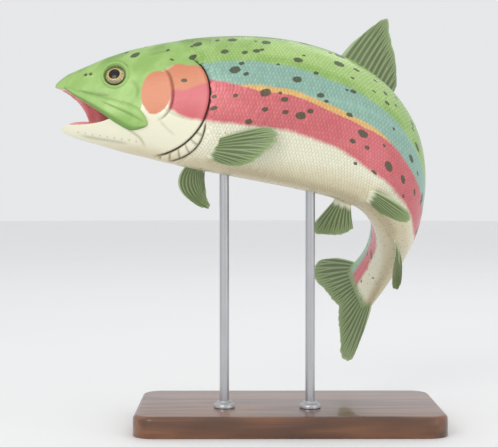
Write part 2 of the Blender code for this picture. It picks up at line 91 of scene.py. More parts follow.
# station where the snout's rounding ends, and the height it closes to
NOSE = 0.022
NOSE_HEIGHT = -0.002
GILL_STATION = 0.262
MOUTH_END = 0.165
LIP_END = 0.135
BODY_END = 0.945
# depth of the body at its deepest
DEEP = 0.24
# first and last station of the scales, and how far they start behind the line of SCALE_FRONT
SCALED = (0.186, 0.934)
SCALE_GAP = 0.0045
SCALE_CORNERS = 12
SKIN_ROWS = 232
EYE_PLACE = (0.100, 0.020)
# metres: the eye, the fins' length inside the skin, the fleshy fin's thickness, how far the
# gill's seams are followed, and the gap under which points are joined
EYE_RADIUS = 0.0092
EYE_DEPTH = 0.0055
EYE_SINK = 0.0035
FIN_ROOT = 0.0030
FLESHY_FIN = 0.0032
GILL_REACH = 0.006
WELD = 0.000002
# degrees over which the stand's edges stay crisp
CRISP = 40
FLESH = (
    "head", "lower_jaw", "gill_cover_left", "gill_cover_right",
    "trunk_front", "trunk_middle", "trunk_rear", "tail_stalk",
)

# station, top of back, underside, half width
BODY_ROWS = (
    (0.000, 0.008, -0.060, 0.014),
    (0.020, 0.020, -0.080, 0.022),
    (0.045, 0.034, -0.089, 0.030),
    (0.080, 0.053, -0.096, 0.040),
    (0.120, 0.070, -0.104, 0.048),
    (0.160, 0.083, -0.110, 0.055),
    (0.200, 0.094, -0.116, 0.061),
    (0.300, 0.113, -0.126, 0.070),
    (0.400, 0.121, -0.131, 0.074),
    (0.500, 0.118, -0.130, 0.072),
    (0.600, 0.104, -0.116, 0.063),
    (0.700, 0.081, -0.090, 0.049),
    (0.780, 0.062, -0.065, 0.036),
    (0.860, 0.049, -0.050, 0.024),
    (0.910, 0.050, -0.050, 0.017),
    (0.930, 0.052, -0.052, 0.012),
    (0.945, 0.051, -0.051, 0.005),
)
# station, height of the widest line
WIDEST_ROWS = (
    (0.000, -0.030), (0.060, -0.045), (0.100, -0.050), (0.160, -0.036),
    (0.240, -0.018), (0.400, -0.008), (0.700, -0.004), (0.945, 0.000),
)
# station, pitch of the spine, turn away, roll (degrees)
POSE_ROWS = (
    (0.00, 5, 3, 6),
    (0.15, 5, 1, 6),
    (0.26, 6, 1, 8),
    (0.36, 9, 5, 12),
    (0.46, 18, 12, 22),
    (0.56, 40, 25, 39),
    (0.65, 71, 37, 64),
    (0.74, 94, 43, 90),
    (0.83, 109, 43, 111),
    (0.92, 127, 35, 130),
    (1.00, 148, 20, 144),
    (1.10, 160, 10, 149),
)
# station, height
UPPER_LIP = (
    (0.0040, -0.0060), (0.0220, -0.0100), (0.0480, -0.0220), (0.0750, -0.0360), (0.1060, -0.0500),
)
LOWER_LIP = (
    (0.0160, -0.0730), (0.0240, -0.0690), (0.0460, -0.0670), (0.0680, -0.0640), (0.0900, -0.0580),
    (0.1060, -0.0500),
)
MOUTH_FRONT = (
    (0.0105, -0.080), (0.0115, -0.090), (0.013, -0.120), (-0.020, -0.120), (-0.020, -0.006),
)
# station, half width of the lower jaw seen from above
JAW_PLAN = (
    (0.0135, 0.0000), (0.0150, 0.0070), (0.0210, 0.0135), (0.0320, 0.0200), (0.0480, 0.0270),
    (0.0750, 0.0370), (0.1050, 0.0470),
)
MAXILLA_TOP = (
    (0.0150, -0.0040), (0.0460, -0.0130), (0.0780, -0.0185), (0.1080, -0.0235), (0.1340, -0.0300),
    (0.1520, -0.0385), (0.1660, -0.0500),
)
MAXILLA_BOTTOM = (
    (0.0160, -0.0080), (0.0300, -0.0170), (0.0570, -0.0315), (0.0850, -0.0475), (0.1100, -0.0620),
    (0.1360, -0.0725), (0.1600, -0.0720),
)
# station, lower edges of the green back, the blue flank and the red stripe
BAND_ROWS = (
    (0.180, 0.044, 0.024, -0.044), (0.240, 0.047, 0.022, -0.048), (0.300, 0.056, 0.014, -0.052),
    (0.380, 0.055, 0.008, -0.055), (0.460, 0.038, -0.012, -0.071), (0.540, 0.020, -0.027, -0.086),
    (0.620, 0.002, -0.036, -0.084), (0.700, 0.006, -0.025, -0.066), (0.760, 0.016, -0.010, -0.044),
    (0.820, 0.026, 0.006, -0.020), (0.880, 0.034, 0.018, -0.008), (0.945, 0.040, 0.026, -0.003),
)
# station, height
GILL_EDGE = (
    (0.2120, 0.0560), (0.2280, 0.0510), (0.2420, 0.0400), (0.2530, 0.0210), (0.2590, -0.0040),
    (0.2570, -0.0340), (0.2470, -0.0610), (0.2270, -0.0850), (0.2000, -0.1010), (0.1700, -0.1080),
)
MEMBRANE_EDGE = (
    (0.2570, -0.0470), (0.2560, -0.0680), (0.2490, -0.0880), (0.2340, -0.1030), (0.2120, -0.1120),
    (0.1850, -0.1140), (0.1620, -0.1100),
)
PREOPERCLE = (
    (0.1780, 0.0380), (0.1900, 0.0240), (0.1970, 0.0050), (0.1995, -0.0150), (0.1965, -0.0330),
    (0.1880, -0.0460), (0.1740, -0.0560),
)
# grooves of the head: line of (station, height), depth and width in metres
FOLDS = (
    (((0.183, -0.030), (0.205, -0.042), (0.232, -0.050)), 0.0004, 0.0008),
    (((0.176, -0.046), (0.196, -0.066), (0.214, -0.078)), 0.0003, 0.0008),
    (((0.034, -0.008), (0.056, -0.014), (0.080, -0.016), (0.100, -0.014)), 0.0006, 0.0009),
    (((0.084, 0.036), (0.098, 0.0435), (0.113, 0.040), (0.124, 0.031)), 0.0006, 0.0010),
    (((0.118, -0.060), (0.134, -0.072), (0.152, -0.084), (0.164, -0.100)), 0.0005, 0.0010),
    (((0.040, -0.083), (0.070, -0.087), (0.110, -0.091), (0.140, -0.094)), 0.0004, 0.0012),
    (((0.126, 0.016), (0.137, 0.006), (0.142, -0.008), (0.138, -0.022)), 0.0003, 0.0011),
    (((0.150, 0.058), (0.176, 0.066), (0.196, 0.070)), 0.0003, 0.0012),
)
# (station, height), depth in metres
NOSTRILS = (((0.050, 0.0185), 0.0017), ((0.0585, 0.0200), 0.0014))
JAW_PORES = tuple((0.046 + 0.0125 * k, -0.0795 - 0.0012 * k) for k in range(9))
# the line from nape to throat behind which the scales begin: height, station
SCALE_FRONT = (
    (-0.1300, 0.1850), (-0.1160, 0.2160), (-0.1040, 0.2400), (-0.0880, 0.2540), (-0.0640, 0.2605),
    (-0.0050, 0.2630), (0.0220, 0.2580), (0.0430, 0.2460), (0.0570, 0.2300), (0.0760, 0.2120),
    (0.1000, 0.1960),
)


class Curve:
    """Smooth curve through rows of (station, value, value, ...)."""

    def __init__(self, rows):
        table = np.array(rows, float)
        self.at = table[:, 0]
        self.value = table[:, 1:]
        self.slope = np.gradient(self.value, self.at, axis=0)

    def __call__(self, station):
        station = np.asarray(station, float)
        i = np.clip(np.searchsorted(self.at, station, side="right") - 1, 0, len(self.at) - 2)
        span = (self.at[i + 1] - self.at[i])[..., None]
        t = np.clip((station - self.at[i])[..., None] / span, 0, 1)
        start = (2 * t**3 - 3 * t**2 + 1) * self.value[i]
        start = start + (t**3 - 2 * t**2 + t) * span * self.slope[i]
        end = (3 * t**2 - 2 * t**3) * self.value[i + 1]
        return start + end + (t**3 - t**2) * span * self.slope[i + 1]


body_curve = Curve(BODY_ROWS)
widest_curve = Curve(WIDEST_ROWS)
pose_curve = Curve(POSE_ROWS)


def spine_frame(station):
    """Rearward, leftward and upward directions of the body at each station."""
    pitch, turn, roll = np.moveaxis(np.radians(pose_curve(station)), -1, 0)
    rear = np.stack([np.cos(turn) * np.cos(pitch), np.sin(turn), -np.cos(turn) * np.sin(pitch)], -1)
    out = np.stack([np.sin(pitch), 0 * pitch, np.cos(pitch)], -1)
    near = np.cross(out, -rear)
    up = np.cos(roll)[..., None] * out - np.sin(roll)[..., None] * near
    left = np.sin(roll)[..., None] * out + np.cos(roll)[..., None] * near
    return rear, left, up


def spine_line():
    station = np.linspace(-0.1, 1.2, 1301)
    rear = spine_frame(station)[0]
    step = (rear[1:] + rear[:-1]) / 2 * np.diff(station)[:, None] * FORK
    line = np.concatenate([np.zeros((1, 3)), np.cumsum(step, 0)])
    return station, line - line[np.searchsorted(station, 0.0)]


SPINE_STATIONS, SPINE = spine_line()


def bend(points):
    """Straight-fish points (x back, y right, z up, metres) to the leaping pose."""
    points = np.asarray(points, float)
    station = points[..., 0] / FORK
    centre = np.stack([np.interp(station, SPINE_STATIONS, SPINE[:, k]) for k in range(3)], -1)
    _, left, up = spine_frame(station)
    return centre + np.array(SNOUT) - points[..., 1:2] * left + points[..., 2:3] * up


def smooth(value, low, high):
    t = np.clip((value - low) / (high - low), 0, 1)
    return t * t * (3 - 2 * t)


def section(station):
    """Top, underside, half width and widest height in metres, with the nose rounded."""
    station = np.asarray(station, float)
    top, under, half = np.moveaxis(body_curve(station), -1, 0)
    widest = widest_curve(station)[..., 0]
    blunt = np.sqrt(1 - (1 - np.clip(station / NOSE, 0, 1)) ** 2)
    top = NOSE_HEIGHT + (top - NOSE_HEIGHT) * blunt
    return top * FORK, under * FORK, half * blunt * FORK, widest * FORK


def shell(station, angle, out=0.0):
    """Straight-fish point on the body; angle 0 is the back, pi the belly, positive on the right."""
    top, under, half, widest = section(station)
    across = np.sin(angle)
    rise = np.cos(angle)
    side = np.sign(across) * np.abs(across) ** SQUARE
    lift = np.sign(rise) * np.abs(rise) ** SQUARE
    reach = np.where(lift > 0, top + out - widest, widest - under + out)
    narrow = 1 - 0.08 * np.clip((0.13 - station) / 0.03, 0, 1) * smooth(-lift, 0.0, 0.4)
    wide = (half + out) * side * narrow
    return np.stack([station * FORK + 0 * wide, wide, widest + reach * lift], -1)


def level_at(station, height):
    """Height on the body from -1 at the belly through 0 at the widest line to 1 at the back."""
    top, under, _, widest = section(station)
    reach = np.where(height > widest, top - widest, widest - under)
    return np.clip((height - widest) / reach, -1, 1)


def angle_at(station, height):
    level = level_at(station, height)
    return np.arccos(np.sign(level) * np.abs(level) ** (1 / SQUARE))


def flank(station, height, side, out=0.0):
    """Straight-fish point on one flank at a height in metres, raised by out."""
    return shell(station, side * angle_at(station, height), out)


def girth_table():
    """Distance along the skin from the back, by station and angle, in fork lengths."""
    stations = np.linspace(0, BODY_END, 240)
    angles = np.linspace(0, math.pi, 181)
    points = shell(stations[:, None], angles[None, :])
    steps = np.linalg.norm(np.diff(points, axis=1), axis=2)
    arcs = np.concatenate([np.zeros((len(stations), 1)), np.cumsum(steps, 1)], 1)
    return arcs / FORK


GIRTH = girth_table()


def arc_at(station, angle):
    """Signed distance along the skin from the back, in fork lengths."""
    row = np.clip(station / BODY_END, 0, 1) * (GIRTH.shape[0] - 1)
    column = np.clip(np.abs(angle) / math.pi, 0, 1) * (GIRTH.shape[1] - 1)
    i = np.clip(row.astype(int), 0, GIRTH.shape[0] - 2)
    j = np.clip(column.astype(int), 0, GIRTH.shape[1] - 2)
    a, b = row - i, column - j
    near = GIRTH[i, j] * (1 - b) + GIRTH[i, j + 1] * b
    far = GIRTH[i + 1, j] * (1 - b) + GIRTH[i + 1, j + 1] * b
    return np.sign(angle) * (near * (1 - a) + far * a)


def scale_front(height):
    """Station behind which the body carries scales, at a height in fork lengths."""
    return np.interp(height, *np.array(SCALE_FRONT).T)


def bands_at(station, height):
    """Heights above the lower edges of the green, the blue and the red, in fork lengths."""
    return height[:, None] - Curve(BAND_ROWS)(np.maximum(station, BAND_ROWS[0][0]))


def dense(rows, count):
    """A line of (station, height) rows as a smooth run of points."""
    rows = np.array(rows, float)
    along = np.concatenate([[0], np.cumsum(np.linalg.norm(np.diff(rows, axis=0), axis=1))])
    curve = Curve(np.column_stack([along, rows]))
    return curve(np.linspace(0, along[-1], count))


def line_distance(station, height, rows):
    """Distance in metres to a line, signed (positive above or ahead of it), and share along it."""
    line = dense(rows, 28) * FORK
    points = np.stack([station, height], -1) * FORK
    best = np.full(len(points), 1e9)
    signed = np.zeros(len(points))
    share = np.zeros(len(points))
    for k, (start, end) in enumerate(zip(line, line[1:])):
        step = end - start
        away = points - start
        t = np.clip(away @ step / (step @ step), 0, 1)
        gap = away - t[:, None] * step
        distance = np.hypot(gap[:, 0], gap[:, 1])
        turn = step[0] * away[:, 1] - step[1] * away[:, 0]
        closer = distance < best
        best = np.where(closer, distance, best)
        signed = np.where(closer, np.where(turn < 0, distance, -distance), signed)
        share = np.where(closer, (k + t) / (len(line) - 1), share)
    return signed, share


# ---------------------------------------------------------------- meshes and pieces

def link(name, data):
    thing = bpy.data.objects.new(name, data)
    bpy.context.scene.collection.objects.link(thing)
    return thing


def coordinates(mesh):
    flat = np.empty(len(mesh.vertices) * 3)
    mesh.vertices.foreach_get("co", flat)
    return flat.reshape(-1, 3)


def set_coordinates(mesh, points):
    mesh.vertices.foreach_set("co", np.ascontiguousarray(points, float).ravel())
    mesh.update()


def normals(mesh):
    flat = np.empty(len(mesh.vertices) * 3)
    mesh.vertices.foreach_get("normal", flat)
    return flat.reshape(-1, 3)


def mark(mesh, name, values):
    """Store a number or a vector on each vertex."""
    values = np.asarray(values, float)
    kind = "FLOAT_VECTOR" if values.ndim == 2 else "FLOAT"
    key = "vector" if values.ndim == 2 else "value"
    layer = mesh.attributes.new(name, kind, "POINT")
    layer.data.foreach_set(key, np.ascontiguousarray(values).ravel())


def face_out(mesh):
    """Turn a closed mesh's faces outward."""
    mesh.calc_loop_triangles()
    corners = np.empty(len(mesh.loop_triangles) * 3, int)
    mesh.loop_triangles.foreach_get("vertices", corners)
    a, b, c = np.moveaxis(coordinates(mesh)[corners.reshape(-1, 3)], 1, 0)
    if np.einsum("ij,ij->", a, np.cross(b, c)) < 0:
        mesh.flip_normals()


def mesh_of(bm, name):
    mesh = bpy.data.meshes.new(name)
    bm.to_mesh(mesh)
    bm.free()
    return mesh


def opened(mesh):
    bm = bmesh.new()
    bm.from_mesh(mesh)
    return bm


def written_back(bm, mesh):
    """Turn the faces alike and put them back into the mesh."""
    bmesh.ops.recalc_face_normals(bm, faces=bm.faces)
    bm.to_mesh(mesh)
    bm.free()
    return mesh


def rims(bm):
    return [e for e in bm.edges if e.is_boundary]


def many_sided(bm):
    return [f for f in bm.faces if len(f.verts) > 4]


def grid(columns, rows):
    bm = bmesh.new()
    bmesh.ops.create_grid(bm, x_segments=columns, y_segments=rows, size=0.5)
    return bm


def slab(name, columns, rows, place):
    """Closed thin solid: a grid doubled through its thickness, each point set by place."""
    bm = grid(columns, rows)
    moved = bmesh.ops.extrude_face_region(bm, geom=list(bm.faces))["geom"]
    raised = [item for item in moved if isinstance(item, bmesh.types.BMVert)]
    bmesh.ops.translate(bm, vec=(0, 0, 1), verts=raised)
    mesh = mesh_of(bm, name)
    unit = coordinates(mesh)
    share, out, side = unit[:, 0] + 0.5, unit[:, 1] + 0.5, unit[:, 2] * 2 - 1
    set_coordinates(mesh, place(mesh, share, out, side))
    face_out(mesh)
    return mesh


def ring_solid(name, turns, rows, place):
    """Closed ring: a grid wrapped both ways round, each point set by place."""
    mesh = mesh_of(grid(turns, rows), name)
    unit = coordinates(mesh) + 0.5
    share = np.rint(unit[:, 0] * turns) / turns
    loop = np.rint(unit[:, 1] * rows) / rows
    set_coordinates(mesh, place(mesh, share, loop))
    bm = opened(mesh)
    bmesh.ops.remove_doubles(bm, verts=bm.verts, dist=WELD)
    face_out(written_back(bm, mesh))
    return mesh


def add_piece(name, mesh, material, nodes=(), sharp=None):
    """Link a finished piece, paint it and let it ride; edges over sharp degrees stay crisp."""
    thing = link(name, mesh)
    mesh.materials.clear()
    mesh.materials.append(material)
    mesh.shade_smooth()
    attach(thing, BODY)
    if nodes:
        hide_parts(*nodes)
    if sharp:
        mesh.set_sharp_from_angle(angle=math.radians(sharp))


def chart_marks(mesh, straight, arc=None, behind=None):
    """Store where each vertex lies on the straight fish, for the markings."""
    station, width, height = straight.T / FORK
    if arc is None:
        side = np.where(width < 0, -1.0, 1.0)
        arc = arc_at(station, side * angle_at(station, straight[:, 2]))
        behind = station - scale_front(height)
    level = level_at(station, straight[:, 2])
    mark(mesh, "place", np.column_stack([station, width, height]))
    mark(mesh, "chart", np.column_stack([arc, level, behind]))
    mark(mesh, "bands", bands_at(station, height))


# ---------------------------------------------------------------- materials

WET = {"Coat Weight": 0.30, "Coat Roughness": 0.20, "IOR": 1.45}


def maths(operation, turned_round=False):
    """Method that adds one Math node."""
    def method(self, *others):
        terms = (*others, self) if turned_round else (self, *others)
        return self.paint.add("ShaderNodeMath", {"operation": operation}, dict(enumerate(terms)))
    return method


class Value:
    """A socket in a material; arithmetic on it adds Math nodes."""

    def __init__(self, paint, socket):
        self.paint = paint
        self.socket = socket

    __add__ = __radd__ = maths("ADD")
    __sub__ = maths("SUBTRACT")
    __rsub__ = maths("SUBTRACT", turned_round=True)
    __mul__ = __rmul__ = maths("MULTIPLY")
    __pow__ = maths("POWER")
    absolute = maths("ABSOLUTE")
    sine = maths("SINE")
    larger = maths("MAXIMUM")


class Paint:
    """A material under construction, with one Principled shader."""

    def __init__(self, name, constants=None):
        self.material = bpy.data.materials.new(name)
        self.material.use_nodes = True
        self.tree = self.material.node_tree
        self.shader = self.tree.nodes["Principled BSDF"]
        for key, value in (constants or {}).items():
            self.shader.inputs[key].default_value = value

    def add(self, kind, settings=None, values=None, out=0):
        node = self.tree.nodes.new(kind)
        for key, value in (settings or {}).items():
            setattr(node, key, value)
        for key, value in (values or {}).items():
            self.feed(node.inputs[key], value)
        return Value(self, node.outputs[out])

    def feed(self, socket, value):
        if isinstance(value, Value):
            self.tree.links.new(value.socket, socket)
        elif isinstance(value, (tuple, list)) and len(socket.default_value) == 4:
            socket.default_value = (*value, 1.0)
        else:
            socket.default_value = value

    def done(self, colour, roughness, normal=None, metallic=None):
        """Feed the shader and hand over the material."""
        ends = {"Base Color": colour, "Roughness": roughness, "Normal": normal, "Metallic": metallic}
        for key, value in ends.items():
            if value is not None:
                self.feed(self.shader.inputs[key], value)
        return self.material

    def attribute(self, name, out="Vector"):
        return self.add("ShaderNodeAttribute", {"attribute_name": name}, out=out)

    def number(self, name):
        return self.attribute(name, "Fac")

    def split(self, vector):
        node = self.add("ShaderNodeSeparateXYZ", values={0: vector}).socket.node
        return [Value(self, output) for output in node.outputs]

    def join(self, x, y, z=0.0):
        return self.add("ShaderNodeCombineXYZ", values={0: x, 1: y, 2: z})

    def object_place(self):
        return self.add("ShaderNodeTexCoord", out="Object")

    def stretch(self, vector, size):
        return self.add("ShaderNodeMapping", values={0: vector, "Scale": Vector(size)})

    def noise(self, vector, scale, detail=3.0, roughness=0.5, distortion=0.0):
        return self.add("ShaderNodeTexNoise", values={
            "Vector": vector, "Scale": scale, "Detail": detail,
            "Roughness": roughness, "Distortion": distortion})

    def ramp(self, value, low, high, start=0.0, end=1.0):
        """Smooth step from start to end as the value goes from low to high."""
        return self.add("ShaderNodeMapRange", {"interpolation_type": "SMOOTHSTEP"}, {
            0: value, 1: low, 2: high, 3: start, 4: end})

    def mix(self, factor, first, second, blend="MIX"):
        settings = {"data_type": "RGBA", "blend_type": blend}
        return self.add("ShaderNodeMix", settings, {0: factor, 6: first, 7: second}, out=2)

    def bump(self, height, distance, strength):
        return self.add("ShaderNodeBump", values={
            "Height": height, "Distance": distance, "Strength": strength})

    def oval(self, station, height, middle, radii):
        """Distance from the middle of an oval, as a share of its radii, squared."""
        along = (station - middle[0]) * (1 / radii[0])
        up = (height - middle[1]) * (1 / radii[1])
        return along * along + up * up


def spots(paint, station, arc, high, pitch, size, shift):
    """Mask of scattered oval spots on the straight fish's unrolled skin."""
    wander = paint.noise(paint.join(station, arc), 130.0, 2.0)
    x = station * (0.78 / pitch) + shift + wander * 0.09
    y = arc * (1 / pitch) + shift * 1.7 + wander * 0.07
    cells = paint.add(
        "ShaderNodeTexVoronoi", {"voronoi_dimensions": "2D"},
        {"Vector": paint.join(x, y), "Scale": 1.0, "Randomness": 0.78})
    colour = Value(paint, cells.socket.node.outputs["Color"])
    big, chance, _ = paint.split(colour)
    grown = paint.ramp(high - chance, 0.0, 0.10)
    edge = cells - big * grown * (size * 0.75) + (1 - grown) * size
    return paint.ramp(edge, size * 0.72, size * 0.50)


def markings(paint, tint):
    """Colour of skin and scales, and the mask of their dark spots."""
    ramp, mix, noise = paint.ramp, paint.mix, paint.noise
    station, width, height = paint.split(paint.attribute("place"))
    arc, level, zone = paint.split(paint.attribute("chart"))
    flat = paint.join(station, arc)
    drift = noise(flat, 16.0, 3.0) - 0.5
    ragged = noise(flat, 90.0, 2.0) - 0.5
    girdle = level + drift * 0.16 + ragged * 0.05
    waver = drift * 0.010 + ragged * 0.005
    rise = height + waver
    ahead = station + drift * 0.012 + ragged * 0.003
    over_green, over_blue, over_red = (
        edge + waver for edge in paint.split(paint.attribute("bands")))
    body = ramp(zone, -0.0035, 0.0005)

    # trunk: belly, red stripe, blue flank, warm line and green back
    # painted shade: tan along the underside, fading out towards the snout
    shaded = ramp(girdle, -0.72, -0.95) * ramp(station, 0.05, 0.16)
    belly = mix(shaded, tint.belly, tint.belly_painted_shade)
    rosy = mix(noise(flat, 38.0, 3.0), tint.stripe, tint.stripe_deep)
    trunk = mix(ramp(over_red, -0.005, 0.004), belly, rosy)
    trunk = mix(ramp(over_blue, -0.003, 0.004), trunk, tint.flank)
    ends = ramp(station, 0.280, 0.340) * ramp(station, 0.600, 0.500)
    line = ramp(over_blue.absolute() + (1 - ends) * 0.009, 0.0065, 0.0035)
    trunk = mix(line, trunk, tint.line)
    green = mix(ramp(girdle, 0.84, 1.0) * 0.7, tint.back, tint.back_deep_and_shade)
    # painted highlight: a lighter band along the upper back
    painted_highlight = ramp(over_green, 0.008, 0.022) * ramp(girdle, 0.93, 0.82)
    painted_highlight = painted_highlight * ramp(station, 0.30, 0.36) * ramp(station, 0.62, 0.50)
    cloudy = ramp(noise(flat, 22.0, 4.0), 0.42, 0.66) * 0.55
    green = mix(cloudy.larger(painted_highlight * 0.85), green, tint.back_light)
    flecks = ramp(noise(flat, 420.0, 2.0), 0.62, 0.72) * 0.30
    green = mix(flecks, green, tint.back_deep_and_shade)
    trunk = mix(ramp(over_green, -0.004, 0.005), trunk, green)

    # head: pale jaw, red gill cover, green crown and plates, orange cheek and band
    plate = paint.number("plate")
    hem = ramp(station, 0.190, 0.240, -0.034, -0.049)
    red = ramp(rise - hem, -0.004, 0.004) * ramp(ahead, 0.192, 0.199)
    face = mix(red, belly, rosy)
    edge = ramp(ahead, 0.142, 0.166, -0.052, 0.024)
    edge = edge + ramp(station, 0.166, 0.205, 0.0, 0.018)
    crown = ramp(rise - edge, -0.003, 0.003).larger(plate)
    # painted shade: the green darkens towards the jaw plates' lower edge
    shade = mix(ramp(plate, 1.1, 1.9) * 0.85, green, tint.back_deep_and_shade)
    face = mix(crown, face, shade)
    cheek = paint.oval(ahead, rise, (0.1725, -0.006), (0.0250, 0.037))
    patch = ramp(cheek ** 0.5, 1.04, 0.94) * ramp(ahead, 0.204, 0.196)
    sash = ramp(station, 0.210, 0.262, -0.001, 0.014)
    band = ramp(rise - sash, -0.004, 0.004) * ramp(rise - edge, 0.003, -0.003)
    patch = patch.larger(band * ramp(ahead, 0.160, 0.168))
    bare = (1 - plate).larger(0.0)
    face = mix(patch * bare, face, tint.cheek)
    colour = mix(body, face, trunk)
    colour = mix(ramp(ahead + ragged * 0.006, 0.914, 0.934), colour, tint.fin)

    # spots: many above the red's lower edge, few below it and on the head
    upper = ramp(over_red, -0.012, 0.012)
    sides = ramp(level, -0.90, -0.72) * 0.18
    crested = ramp(height, 0.038, 0.054) * ramp(station, 0.075, 0.110)
    covered = ramp(station, 0.185, 0.195) * ramp(height, -0.02, 0.0)
    plenty = body * (sides + upper * 0.66) + (1 - body) * (crested * 0.60 + covered * 0.14)
    plenty = plenty * bare
    large = spots(paint, station, arc, plenty, 0.041, 0.128, 3.0)
    small = spots(paint, station, arc, plenty * 0.60, 0.028, 0.108, 8.0)
    lone = ramp(paint.oval(station, height, (0.2170, 0.0155), (0.0054, 0.0034)), 1.15, 0.75)
    dark = large.larger(small).larger(lone * ramp(width, 0.0, -0.01))
    return mix(dark * 0.92, colour, tint.spot), dark


def bare_skin(tint):
    """Wet skin: pored and creased on the head, pink in the mouth, with painted shade in its creases,
    pores, nostrils, eye rims and gill slits.
    """
    paint = Paint("wet_skin", WET)
    colour, _ = markings(paint, tint)
    place = paint.object_place()
    lining = paint.number("lining")
    gill, web, covered = paint.split(paint.attribute("seams"))
    # painted shade: dark lines just behind the gill cover's edge and under the membrane's edge,
    # joined with the painted shade of the nostrils and eye rims
    behind = paint.ramp((gill + 1.25).absolute(), 1.00, 0.30) * covered
    under = paint.ramp((web + 0.9).absolute(), 0.90, 0.30) * paint.number("webbed")
    slit = paint.number("slit").larger(behind).larger(under * 0.85)
    ridges = paint.noise(paint.stretch(place, (90.0, 420.0, 260.0)), 1.0)
    mouth = paint.mix(ridges, tint.mouth, tint.mouth_deep)
    # painted shade: darkens the folds, pores, grooves and the eye rims' inner part
    colour = paint.mix(paint.number("crease_shade") * 0.62, colour, tint.crease_shade, "MULTIPLY")
    colour = paint.mix(lining, colour, mouth)
    # the gill colour is painted shade for every slit
    colour = paint.mix(slit, colour, tint.gill)
    pores = paint.add("ShaderNodeTexVoronoi", values={"Vector": place, "Scale": 950.0})
    fine = paint.noise(place, 700.0, 4.0, 0.6)
    soft = paint.noise(place, 120.0)
    wrinkle = paint.noise(paint.stretch(place, (170.0, 170.0, 420.0)), 1.0, 3.0, 0.55, 0.6)
    height = fine * 0.5 + paint.ramp(pores, 0.0, 0.35) * 0.35 + soft * 0.6
    height = height + lining * ridges + wrinkle * 0.7 - behind * 4.0 - under * 2.5
    return paint.done(
        colour, 0.30 + fine * 0.14 + soft * 0.08 - lining * 0.10,
        paint.bump(height, 0.00034, 0.8), (1 - lining) * 0.10)


def scaled_skin(tint):
    """Silvery scales in the skin's own markings, each darker at its free edge, with a painted sheen
    brightening some at random.
    """
    paint = Paint("scale_sheen", WET)
    colour, dark = markings(paint, tint)
    tone = paint.number("tone")
    rim = paint.ramp(paint.number("rim"), 0.55, 1.0, 0.0, 0.42)
    colour = paint.mix(rim, colour, tint.scale_rim, "MULTIPLY")
    # painted sheen: random scales brightened towards white
    colour = paint.mix(tone * 0.30, colour, tint.painted_sheen, "SOFT_LIGHT")
    grain = paint.noise(paint.object_place(), 2600.0, 2.0)
    return paint.done(
        colour, 0.26 + tone * 0.20 + dark * 0.08,
        paint.bump(grain, 0.00004, 0.6), (1 - dark) * (0.10 + tone * 0.22))


def fin_material(tint):
    """Olive membrane over jointed, branching rays, paler along the leading edge and the tips."""
    paint = Paint("fin_membrane", {"Coat Weight": 0.45, "Coat Roughness": 0.15, "IOR": 1.42})
    share, out, ridge = paint.split(paint.attribute("ray"))
    place = paint.object_place()
    fine = paint.noise(place, 900.0)
    film = paint.mix(paint.noise(place, 60.0), tint.fin_shade, tint.fin)
    film = paint.mix(paint.ramp(out, 0.0, 0.55), tint.fin, film)
    colour = paint.mix(ridge * 0.55, film, tint.fin_ray)
    furrow = paint.ramp(ridge, 0.42, 0.02)
    furrow = furrow * paint.ramp(out, 0.06, 0.2) * paint.ramp(out, 0.98, 0.8)
    colour = paint.mix(furrow * 0.60, colour, tint.fin_furrow)
    edge = paint.ramp(share, 0.075, 0.02).larger(paint.ramp(out, 0.95, 1.0) * 0.8)
    colour = paint.mix(edge * 0.85, colour, tint.fin_edge)
    joints = paint.add("ShaderNodeTexWave", {"bands_direction": "Y"}, {
        "Vector": paint.join(share, out), "Scale": 9.0, "Distortion": 0.6, "Detail": 1.0})
    colour = paint.mix(joints * ridge * 0.22, colour, tint.fin_shade)
    root, back, _ = paint.split(paint.attribute("root"))
    colour = paint.mix(root * 0.9, colour, paint.mix(back, tint.belly, tint.back))
    return paint.done(
        colour, 0.36 + fine * 0.14 - ridge * 0.06,
        paint.bump(joints * ridge * 0.5 + fine * 0.4, 0.00012, 0.7))


def mouth_material(tint):
    """Wet pink flesh of the tongue and the web of the mouth."""
    paint = Paint("mouth_lining", {"Coat Weight": 0.7, "Coat Roughness": 0.08})
    place = paint.object_place()
    cloud = paint.noise(place, 160.0, 4.0)
    return paint.done(
        paint.mix(cloud, tint.mouth, tint.mouth_deep), 0.28 + cloud * 0.16,
        paint.bump(paint.noise(place, 900.0), 0.00015, 0.7))


def tooth_material(tint):
    paint = Paint("teeth", {"Coat Weight": 0.4})
    place = paint.object_place()
    colour = paint.mix(paint.noise(place, 500.0, 2.0), tint.tooth, tint.tooth_root)
    return paint.done(colour, 0.25 + paint.noise(place, 900.0, 2.0) * 0.12)


def eye_material(tint):
    """Black pupil with a notch ahead, a brass ring, a mottled iris dark above, and a wet cornea."""
    paint = Paint("eye_gloss", {"Coat Weight": 0.35, "Coat Roughness": 0.03, "IOR": 1.38})
    iris_place = paint.attribute("iris")
    across, up, _ = paint.split(iris_place)
    across = across - paint.ramp(across, 0.0, -0.5) * -0.05
    far = (across * across + up * up) ** 0.5
    streak = paint.noise(paint.stretch(iris_place, (6.0, 6.0, 1.0)), 2.2, 4.0, 0.65)
    pupil = paint.ramp(far, 0.525, 0.485)
    ring = paint.ramp((far - 0.55).absolute(), 0.055, 0.015)
    iris = paint.mix(paint.ramp(streak, 0.35, 0.68), tint.iris, tint.iris_light)
    iris = paint.mix(paint.ramp(up, 0.25, 0.70) * 0.75, iris, tint.iris_dark)
    iris = paint.mix(paint.ramp(up, -0.45, -0.80) * 0.45, iris, tint.iris_dark)
    iris = paint.mix(paint.ramp(far, 0.80, 0.97), iris, tint.iris_dark)
    iris = paint.mix(ring, iris, tint.iris_ring)
    return paint.done(
        paint.mix(pupil, iris, tint.pupil), 0.16 + streak * 0.22,
        metallic=(1 - pupil) * paint.ramp(far, 0.95, 0.75) * 0.55)


